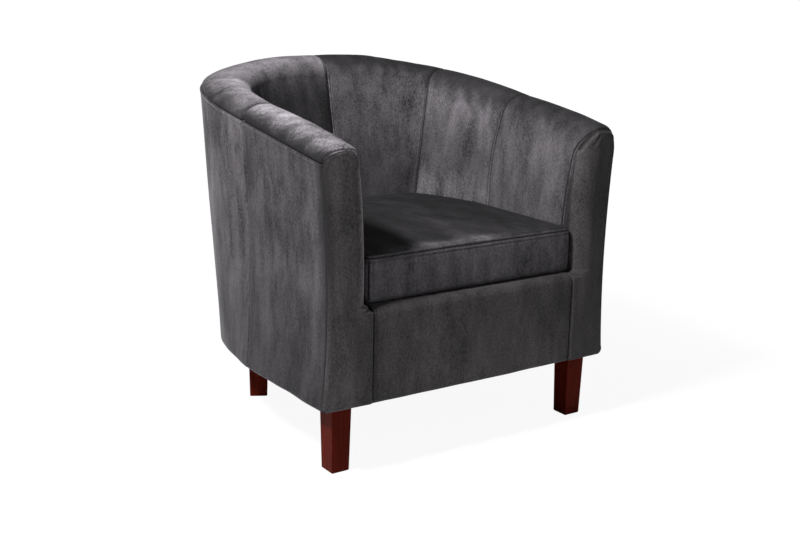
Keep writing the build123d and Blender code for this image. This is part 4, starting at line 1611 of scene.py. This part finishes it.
@dataclass
class FrontBorder:
    """Padded border under the cushion, rounded over at the top and sewn in at both sides."""

    form: TubForm
    stitches: Stitching
    half: float = 0.2296
    top: float = 0.3075
    round_over: float = 0.016
    set_back: float = 0.0015
    top_depth: float = 0.046
    lift: float = 0.004
    stitch_place: float = 0.0075
    stitch_lift: float = 0.0004
    side_depth: float = 0.04
    nap: float = 0.45
    wall_depth: float = 0.010

    def build(self) -> Piece:
        """Face with a crown across, a quarter round into the top edge and a fall at each seam.

        Returns:
            The dressed piece.
        """
        form = self.form
        x = spaced(0.014, 2.0 * self.half, 0.0012, 0.008) - self.half
        foot = form.bottom + self.lift
        straight = np.linspace(foot, self.top - self.round_over, 60)
        bend = np.linspace(0.0, QUARTER, 14)[1:]
        flat = np.linspace(self.round_over, self.top_depth, 7)[1:]
        z = np.concatenate([straight, self.top - self.round_over * (1.0 - np.sin(bend)), np.full(6, self.top)])
        y = np.concatenate([np.zeros(60), self.round_over * (1.0 - np.cos(bend)), flat])
        near = (self.half - np.abs(x))[:, None]
        low = (z - foot)[None, :]
        fall = seam_dive(near, 0.008, 0.006) + seam_dive(low, 0.006, 0.006) * (y[None, :] < 0.001)
        dip = 0.0008 * bell(near, self.stitch_place, 0.0012)
        swell = 0.0011 * ripple(x[:, None], z[None, :] * 0.5, 61, 0.12) * clamped(near / 0.03)
        crown = 0.003 * (x[:, None] / self.half) ** 2
        plane = form.front + self.set_back - form.bow(x)[:, None] + y[None, :]
        depth = plane + crown + fall + dip + swell
        points = np.stack(np.broadcast_arrays(x[:, None], depth, z[None, :]), axis=-1)
        # Painted shade in the side seams and along their stitch rows.
        crease = clamped(bell(near, 0.0, 0.0022) + 0.35 * bell(near, self.stitch_place, 0.001))
        for side in Side:
            row = int(np.argmin(np.abs(side.value * x - (self.half - self.stitch_place))))
            path = points[row, 3:66] + np.array([0.0, -self.stitch_lift, 0.0])
            self.stitches.row(path, np.tile([0.0, -1.0, 0.0], (len(path), 1)))
        ends = points[[0, -1]]
        ends[..., 1] = form.front + self.side_depth
        points = np.concatenate([ends[:1], points, ends[1:]])
        # The sewn-in ends are in full painted shade.
        crease = np.concatenate([np.ones((1, 1)), crease, np.ones((1, 1))])
        nap = np.full(points.shape[:-1], self.nap)
        piece = mesh_piece("front_border_cover", points, grid_faces(len(points), len(z), False), crease, nap)
        thicken(piece, self.wall_depth)
        dress(piece, SHADED_FRONT_VELVET)
        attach(piece, Body.TUB.value)
        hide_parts("front_border")
        return piece


@dataclass
class SeatCushion:
    """Loose boxed cushion: crowned top, bulged border, stitched top edge and front corners."""

    form: TubForm
    stitches: Stitching
    bottom: float = 0.3108
    seam: float = 0.3905
    crown: float = 0.012
    sim_cap: float = 0.0045
    clear: float = 0.0025
    clear_front: float = 0.0005
    front: float = 0.0070
    bulge: float = 0.0015
    corner: float = 0.0075
    plan_start: float = 0.03
    edge_points: int = 59
    count: int = 720
    middle: tuple[float, float] = (0.0, -0.085)
    lean: float = 0.019
    foot_round: float = 0.006
    edge_rise: float = 0.0056
    soft: float = 0.0012
    low_row: float = 0.0065
    top_row: float = 0.0105
    stitch_lift: float = 0.0003

    def plan(self) -> Array:
        """Closed plan from the front centre round the right side, the back and the left side.

        Returns:
            Points in plan, closer together at the front corners.
        """
        form = self.form
        run = np.linspace(self.plan_start, form.span(), 400)
        cut = form.at(run)
        inset = form.wall(cut, self.seam) + self.clear
        inset = inset + self.clear_front * np.exp(-(run - self.plan_start) / 0.07)
        x, y = cut["x"] - cut["nx"] * inset, cut["y"] - cut["ny"] * inset
        turn = np.linspace(0.0, QUARTER, 16)
        front = form.front + self.front
        corner_x = x[0] - self.corner * (1.0 - np.sin(turn))
        corner_y = front + self.corner * (1.0 - np.cos(turn))
        keep = y > corner_y[-1] + 0.004
        edge_x = np.linspace(0.0, corner_x[0], self.edge_points + 1)[:-1]
        right_x = np.concatenate([edge_x, corner_x, x[keep]])
        right = np.column_stack([right_x, np.concatenate([np.full_like(edge_x, front), corner_y, y[keep]])])
        left = right[::-1] * np.array([-1.0, 1.0])
        loop = np.concatenate([right, left[1:-1]])
        ring = np.concatenate([loop, loop[:1]])
        step = running(np.hypot(*np.diff(ring, axis=0).T))
        corner = step[self.edge_points + len(turn) // 2]
        fine = np.linspace(0.0, step[-1], 6000)
        dense = 1.0 + 3.0 * bell(fine, corner, 0.02) + 3.0 * bell(fine, step[-1] - corner, 0.02)
        share = running(0.5 * (dense[1:] + dense[:-1]))
        place = np.interp(np.linspace(0.0, share[-1], self.count, endpoint=False), share, fine)
        return read_along(place, step, ring)

    def filled(self, points: Array, corner_gap: Array) -> Array:
        """Cushion after the cloth run, with its underside, seams and front corners held.

        Args:
            points: Grid of rings from the underside to the middle of the top.
            corner_gap: Distance of each column from the nearer front corner.

        Returns:
            The swollen grid.
        """
        height = points[..., 2]
        held = clamped(1.2 - np.abs(height - self.seam) / 0.004) + (height < self.bottom + 0.003)
        held = clamped(held + (corner_gap < 0.004)[None, :] * (height < self.seam))
        last = len(points) - 2
        swell = settle(points[:last], held[:last], True, True, self.sim_cap)
        level = swell[-1].mean()
        mixed = np.linspace(0.0, 1.0, 10)[:, None]
        swell[-10:] = swell[-10:] * (1.0 - mixed) + level * mixed
        swell = np.concatenate([swell, np.full((2, points.shape[1]), level)])
        facing = -normals_of(ringed(points))[:, :-1]
        facing[-3:] = np.array([0.0, 0.0, 1.0])
        return points + facing * swell[..., None]

    def rings(self, plan: Array, corner_gap: Array) -> tuple[Array, Array]:
        """Rings of the cushion from its underside over the border to the middle of the top.

        Each ring is the plan drawn in towards the middle; border rings swell outwards by a sine of
        their height, top rings rise by the crown times a power of the scale, and seams are pinched.

        Args:
            plan: Closed plan.
            corner_gap: Distance of each column from the nearer front corner.

        Returns:
            Points and painted seam shade, rings by columns.
        """
        middle = np.array(self.middle)
        arm = plan - middle
        size = np.hypot(*arm.T)
        way = arm / size[:, None]
        lean = self.lean * clamped(plan[:, 1] / 0.15)
        run = np.linspace(0.0, 2.0 * math.pi, self.count, endpoint=False)
        corner_seam = bell(corner_gap, 0.0, 0.0020)
        rows: list[Array] = []
        crease: list[Array] = []

        def drawn(shrink: Array | float) -> Array:
            """Plan drawn in by a distance."""
            return middle + way * np.maximum(size - shrink, 0.0)[:, None]

        def row(spot: Array, height: Array | float, dark: Array | float) -> None:
            """Adds one ring at a height."""
            rows.append(np.column_stack([spot, np.broadcast_to(height, (self.count,))]))
            crease.append(np.broadcast_to(dark, (self.count,)))

        def soft(spot: Array) -> Array:
            """Uneven swell of the top."""
            return self.soft * ripple(spot[:, 0], spot[:, 1], 77, 0.13)

        # The underside and its rounded foot carry some painted shade.
        for part in np.linspace(0.0, 1.0, 9)[:-1]:
            row(drawn(size * (1.0 - part) + (lean + self.foot_round) * part), self.bottom, 0.3)
        for angle in np.linspace(0.0, QUARTER, 7):
            row(drawn(lean + self.foot_round * (1.0 - math.sin(angle))),
                self.bottom + self.foot_round * (1.0 - math.cos(angle)), 0.35)
        for z in np.linspace(self.bottom + self.foot_round, self.seam - 0.0045, 34)[1:]:
            part = (z - self.bottom) / (self.seam - self.bottom)
            swell = self.bulge * math.sin(math.pi * min(max(part, 0.0), 1.0)) ** 0.8
            waves = 0.0008 * ripple(run * 0.3, np.full(self.count, z * 0.6), 71, 0.05)
            dip = 0.0012 * bell(self.seam - z, self.low_row, 0.0013) + 0.0026 * corner_seam
            # Painted shade along the border's stitch row and down the front corner seams.
            dark = clamped(0.3 * bell(self.seam - z, self.low_row, 0.0011) + corner_seam)
            row(drawn(lean * (1.0 - part) - swell - waves + dip), z, dark)
        pucker = 0.0005 * np.sin(run * 230.0)
        # The pinched seam rows carry painted shade in the seam.
        for shrink, z, dark in ((0.0006, -0.0030, 0.0), (0.0014, -0.0013, 0.35), (0.0036, 0.0000, 1.0),
                                (0.0024, 0.0016, 0.3), (0.0034, 0.0036, 0.0), (0.0052, 0.0052, 0.0)):
            row(drawn(shrink), self.seam + z + pucker, dark)
        # Top rows, with painted shade along the top stitch row.
        for shrink in np.concatenate([np.linspace(0.0075, 0.03, 12), np.linspace(0.036, 0.19, 24)]):
            spot = drawn(shrink)
            part = clamped(shrink / size)
            rise = self.edge_rise + (self.crown - self.edge_rise) * (1.0 - (1.0 - part) ** 3.0)
            rise = rise + soft(spot) * min(shrink / 0.03, 1.0) - 0.0009 * bell(shrink, self.top_row, 0.0014)
            row(spot, self.seam + rise + pucker * math.exp(-shrink / 0.012),
                0.22 * bell(shrink, self.top_row, 0.0012))
        edge, top = rows[-1], self.seam + self.crown
        for part in np.linspace(1.0, 0.0, 12)[1:]:
            spot = middle + (edge[:, :2] - middle) * part
            row(spot, top + (edge[:, 2] - top) * part + soft(spot) * (1.0 - part) * part, 0.0)
        return np.stack(rows), np.stack(crease)

    def nap(self, points: Array) -> Array:
        """Pile of the cushion with painted light and shade: a painted highlight along the front of the top, the
        left arm's painted shadow at its left, lighter towards the top of the border.

        Args:
            points: Grid of points.

        Returns:
            Pile brushing with painted light and shade at each point.
        """
        x, y, z = np.moveaxis(points, -1, 0)
        ahead = y - self.form.front
        # Painted highlight along the front edge of the top.
        glow = bell(ahead, 0.018, 0.017) * np.exp(-(((x + 0.05) / 0.125) ** 4))
        # Painted shadow of the left arm on the top, fading out at the front edge.
        shade = np.exp(-clamped(x + 0.200) / 0.03) * clamped((ahead - 0.03) / 0.05)
        near_front = np.exp(-clamped(ahead) / 0.06)
        patch = 1.0 + 0.30 * ripple(x, y, 83, 0.075) + 0.16 * ripple(x, y, 87, 0.022)
        # Top painted lighter towards the front and in a middle band, with random patches; border lighter
        # towards its top.
        top = (0.11 + 0.12 * near_front + 0.08 * bell(x, 0.03, 0.07) + 0.85 * glow) * patch
        return np.where(z > self.seam + 0.004, top * (1.0 - 0.7 * shade), 0.68 + 2.0 * (z - 0.35))

    def sew(self, points: Array, plan: Array) -> None:
        """Adds the rows of stitches: round the border, round the top and down both front corners.

        Args:
            points: Grid of points.
            plan: Closed plan.
        """
        normal = normals_of(points)
        x, y, z = points[:, 0].T
        front = plan[0, 1]
        low_miss = np.abs(z - (self.seam - self.low_row)) + 9.0 * (z > self.seam)
        top_miss = np.abs(np.hypot(x, y - front) - self.top_row) + 9.0 * (z < self.seam)
        for miss in (low_miss, top_miss):
            pick = int(np.argmin(miss))
            up = -ringed(normal)[pick]
            self.stitches.row(ringed(points)[pick] + up * self.stitch_lift, up)
        border = (z > self.bottom + 0.008) & (z < self.seam - 0.004) & (np.abs(y - front) < 0.01)
        for side in Side:
            spot = np.array([side.value * (np.abs(plan[:, 0]).max() - 0.0125), front])
            column = int(np.argmin(np.hypot(*(plan - spot).T)))
            path = points[border, column] + np.array([0.0, -self.stitch_lift, 0.0])
            self.stitches.row(path, -normal[border, column])

    def build(self) -> Piece:
        """Closed cushion, filled by a cloth run, dressed and sewn.

        Returns:
            The cushion.
        """
        plan = self.plan()
        bevel = 0.293 * self.corner
        wall = self.form.wall(self.form.at(np.array(self.plan_start)), self.seam)
        half = self.form.half_width - wall - self.clear - self.clear_front
        corner_gap = np.hypot(np.abs(plan[:, 0]) - half + bevel, plan[:, 1] - plan[:, 1].min() - bevel)
        points, crease = self.rings(plan, corner_gap)
        points = self.filled(points, corner_gap)
        faces = grid_faces(len(points), self.count, True, wrap_cols=True)
        piece = mesh_piece("seat_cushion_cover", points, faces, crease, self.nap(points), weld=True)
        dress(piece, SHADED_SEAT_VELVET)
        self.sew(points, plan)
        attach(piece, Body.CUSHION.value)
        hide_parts("cushion_top", "cushion_border", "cushion_bottom", "cushion_foam")
        return piece


@dataclass
class Underside:
    """Deck under the cushion and dust cover under the frame, both thin cloth over the frame."""

    form: TubForm
    deck_height: float = 0.3092
    deck_sag: float = 0.004
    dust_height: float = 0.1306
    dust_sag: float = 0.0004
    plan_points: int = 300
    middle: tuple[float, float] = (0.0, -0.05)
    thickness: float = 0.0010

    def sheet(self, name: str, front: float, inset: Array, height: float, sag: float, up: bool,
              bowed: float = 0.0) -> tuple[Piece, float]:
        """Flat cloth in the tub's plan: its points scaled about the middle, sagging by one less the square.

        Args:
            name: Piece name.
            front: Y of the front edge.
            inset: Inset of the plan behind the rim line, at set lengths.
            height: Height of the edge.
            sag: Fall at the middle.
            up: Whether the face looks up.
            bowed: Share of the front's bow that the front edge follows.

        Returns:
            The piece and its area.
        """
        form = self.form
        cut = form.at(np.linspace(0.0, form.span(), self.plan_points))
        x = cut["x"] - cut["nx"] * inset
        y = np.maximum(cut["y"] - cut["ny"] * inset, front)
        edge = np.linspace(0.0, x[0], 40)[:-1]
        edge_y = front - bowed * (form.bow(edge) - form.bow_side)
        right = np.column_stack([np.concatenate([edge, x]), np.concatenate([edge_y, y])])
        loop = np.concatenate([right, right[::-1][1:-1] * np.array([-1.0, 1.0])])
        middle = np.array(self.middle)
        scale = np.linspace(1.0, 0.0, 24)
        spot = middle + (loop - middle)[None, :, :] * scale[:, None, None]
        fall = sag * (1.0 - scale**2)[:, None] * np.ones((1, len(loop)))
        points = np.concatenate([spot, (height - fall)[..., None]], axis=-1)
        piece = mesh_piece(name, points, grid_faces(len(scale), len(loop), up, wrap_cols=True), weld=True)
        thicken(piece, self.thickness)
        after = np.roll(loop, -1, axis=0)
        area = 0.5 * abs(float(np.sum(loop[:, 0] * after[:, 1] - after[:, 0] * loop[:, 1])))
        dress(piece, LINING)
        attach(piece, Body.TUB.value)
        return piece, area

    def build(self) -> list[Piece]:
        """Builds the deck cloth and the dust cover.

        Returns:
            Both pieces.
        """
        form = self.form
        cut = form.at(np.linspace(0.0, form.span(), self.plan_points))
        deck, deck_area = self.sheet("deck_cover", form.front + 0.03, form.inside(cut) + 0.003,
                                     self.deck_height, self.deck_sag, True)
        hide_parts("deck_cloth", "deck_pad")
        dust, dust_area = self.sheet("dust_cover_cloth", form.front + 0.004, form.base(cut) + 0.008,
                                     self.dust_height, self.dust_sag, False, 1.0)
        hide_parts("dust_cover")
        return [deck, dust]


@dataclass
class Studio:
    """Camera at the photograph's place, soft lamps and a pale floor."""

    place: Triple = (-1.3585, -2.0441, 0.9041)
    azimuth: float = -34.57
    elevation: float = 14.29
    roll: float = 1.12
    lens: float = 55.62
    sensor: float = 36.0
    ambient: float = 0.17
    floor_reach: float = 30.0

    def stand(self, item: Piece, place: Triple, *axes: Array) -> None:
        """Puts a camera or lamp at a place.

        Args:
            item: The object.
            place: Its place.
            axes: Its right, up and back directions.
        """
        frame = np.eye(4)
        frame[:3] = np.column_stack([*axes, place])
        item.matrix_world = Matrix(frame.tolist())
        bpy.context.scene.collection.objects.link(item)

    def camera(self) -> None:
        """Camera looking back along azimuth and elevation, rolled about its own axis."""
        a, e, r = (math.radians(x) for x in (self.azimuth, self.elevation, self.roll))
        back = np.array([math.sin(a) * math.cos(e), -math.cos(a) * math.cos(e), math.sin(e)])
        right = np.array([math.cos(a), math.sin(a), 0.0])
        up = np.cross(back, right)
        turned = math.cos(r) * right + math.sin(r) * up
        upright = -math.sin(r) * right + math.cos(r) * up
        data = bpy.data.cameras.new("photo_camera")
        data.lens = self.lens
        data.sensor_width = self.sensor
        data.sensor_fit = "HORIZONTAL"
        data.clip_start = 0.05
        camera = bpy.data.objects.new("photo_camera", data)
        self.stand(camera, self.place, turned, upright, back)
        bpy.context.scene.camera = camera

    def lamp(self, name: str, place: Triple, aim: Triple, size: float,
             power: float) -> None:
        """Square soft lamp aimed at a point.

        Args:
            name: Lamp name.
            place: Its place.
            aim: Point that it faces.
            size: Side of the square.
            power: Power in watts.
        """
        data = bpy.data.lights.new(name, "AREA")
        data.size = size
        data.energy = power
        lamp = bpy.data.objects.new(name, data)
        way = unit(np.array(place) - np.array(aim))
        side = unit(np.cross([0.0, 0.0, 1.0], way))
        self.stand(lamp, place, side, np.cross(way, side), way)

    def backdrop(self) -> None:
        """World and floor: white to the camera, plain ambient light to the rest."""
        world = bpy.data.worlds.new("studio")
        bpy.context.scene.world = world
        world.use_nodes = True
        n = Nodes(world.node_tree)
        shade = world.node_tree.nodes["Background"]
        seen = n.add("ShaderNodeLightPath").outputs["Is Camera Ray"]
        strength = n.math("ADD", n.math("MULTIPLY", seen, 1.0 - self.ambient), self.ambient)
        n.link(strength, shade.inputs["Strength"])
        n.put(shade, Color=(1.0, 1.0, 1.0, 1.0))
        side = np.array([-self.floor_reach, self.floor_reach])
        points = np.stack(np.broadcast_arrays(side[:, None], side[None, :], 0.0), axis=-1)
        floor = mesh_piece("floor", points, grid_faces(2, 2, False))
        dress(floor, PaleFloor("pale_floor"))

    def build(self) -> None:
        """Sets up the studio."""
        bpy.context.scene.view_settings.view_transform = "Standard"
        self.camera()
        self.lamp("key", (-2.2, -0.55, 3.0), (0.0, 0.0, 0.45), 0.42, 172.0)
        self.lamp("fill", (1.6, -2.8, 1.7), (0.0, 0.0, 0.4), 2.0, 8.0)
        self.lamp("back", (-1.6, 1.8, 2.0), (0.0, 0.0, 0.5), 1.6, 8.0)
        self.backdrop()


def dress_frame(nodes: dict[str, Piece]) -> None:
    """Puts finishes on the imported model: wood, metal and straps on the frame, velvet on the covers.

    Args:
        nodes: Node objects by name.
    """
    for name, node in nodes.items():
        if name.endswith("_leg"):
            dress(node, LEG_WOOD)
        elif name in ("hanger_bolts", "tee_nuts"):
            dress(node, ZINC)
        elif name.startswith("seat_straps"):
            dress(node, WEBBING)
        elif name.endswith(("_rail", "_board", "_post", "_block")):
            dress(node, FRAME_WOOD)
        else:
            dress(node, VELVET)


def main() -> None:
    """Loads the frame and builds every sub-assembly in order."""
    logging.basicConfig(level=logging.INFO, format="%(message)s")
    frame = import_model()
    dress_frame(frame["nodes"])
    form = TubForm()
    tub_stitches = Stitching()
    cushion_stitches = Stitching()
    inside = InsideCover(form, tub_stitches)
    pieces = inside.build()
    pieces += OutsideCover(form).build()
    arm_front = ArmFront(form, inside)
    pieces += [arm_front.build(side) for side in Side]
    pieces.append(FrontBorder(form, tub_stitches).build())
    pieces.append(SeatCushion(form, cushion_stitches).build())
    pieces += Underside(form).build()
    for rows, body, name in ((tub_stitches, Body.TUB, "tub_stitching"),
                             (cushion_stitches, Body.CUSHION, "cushion_stitching")):
        thread = rows.build(name)
        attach(thread, body.value)
        pieces.append(thread)
    Studio().build()
    for piece in pieces:
        log.info("piece %s: %d faces", piece.name, len(piece.data.polygons))


if __name__ == "__main__":
    main()
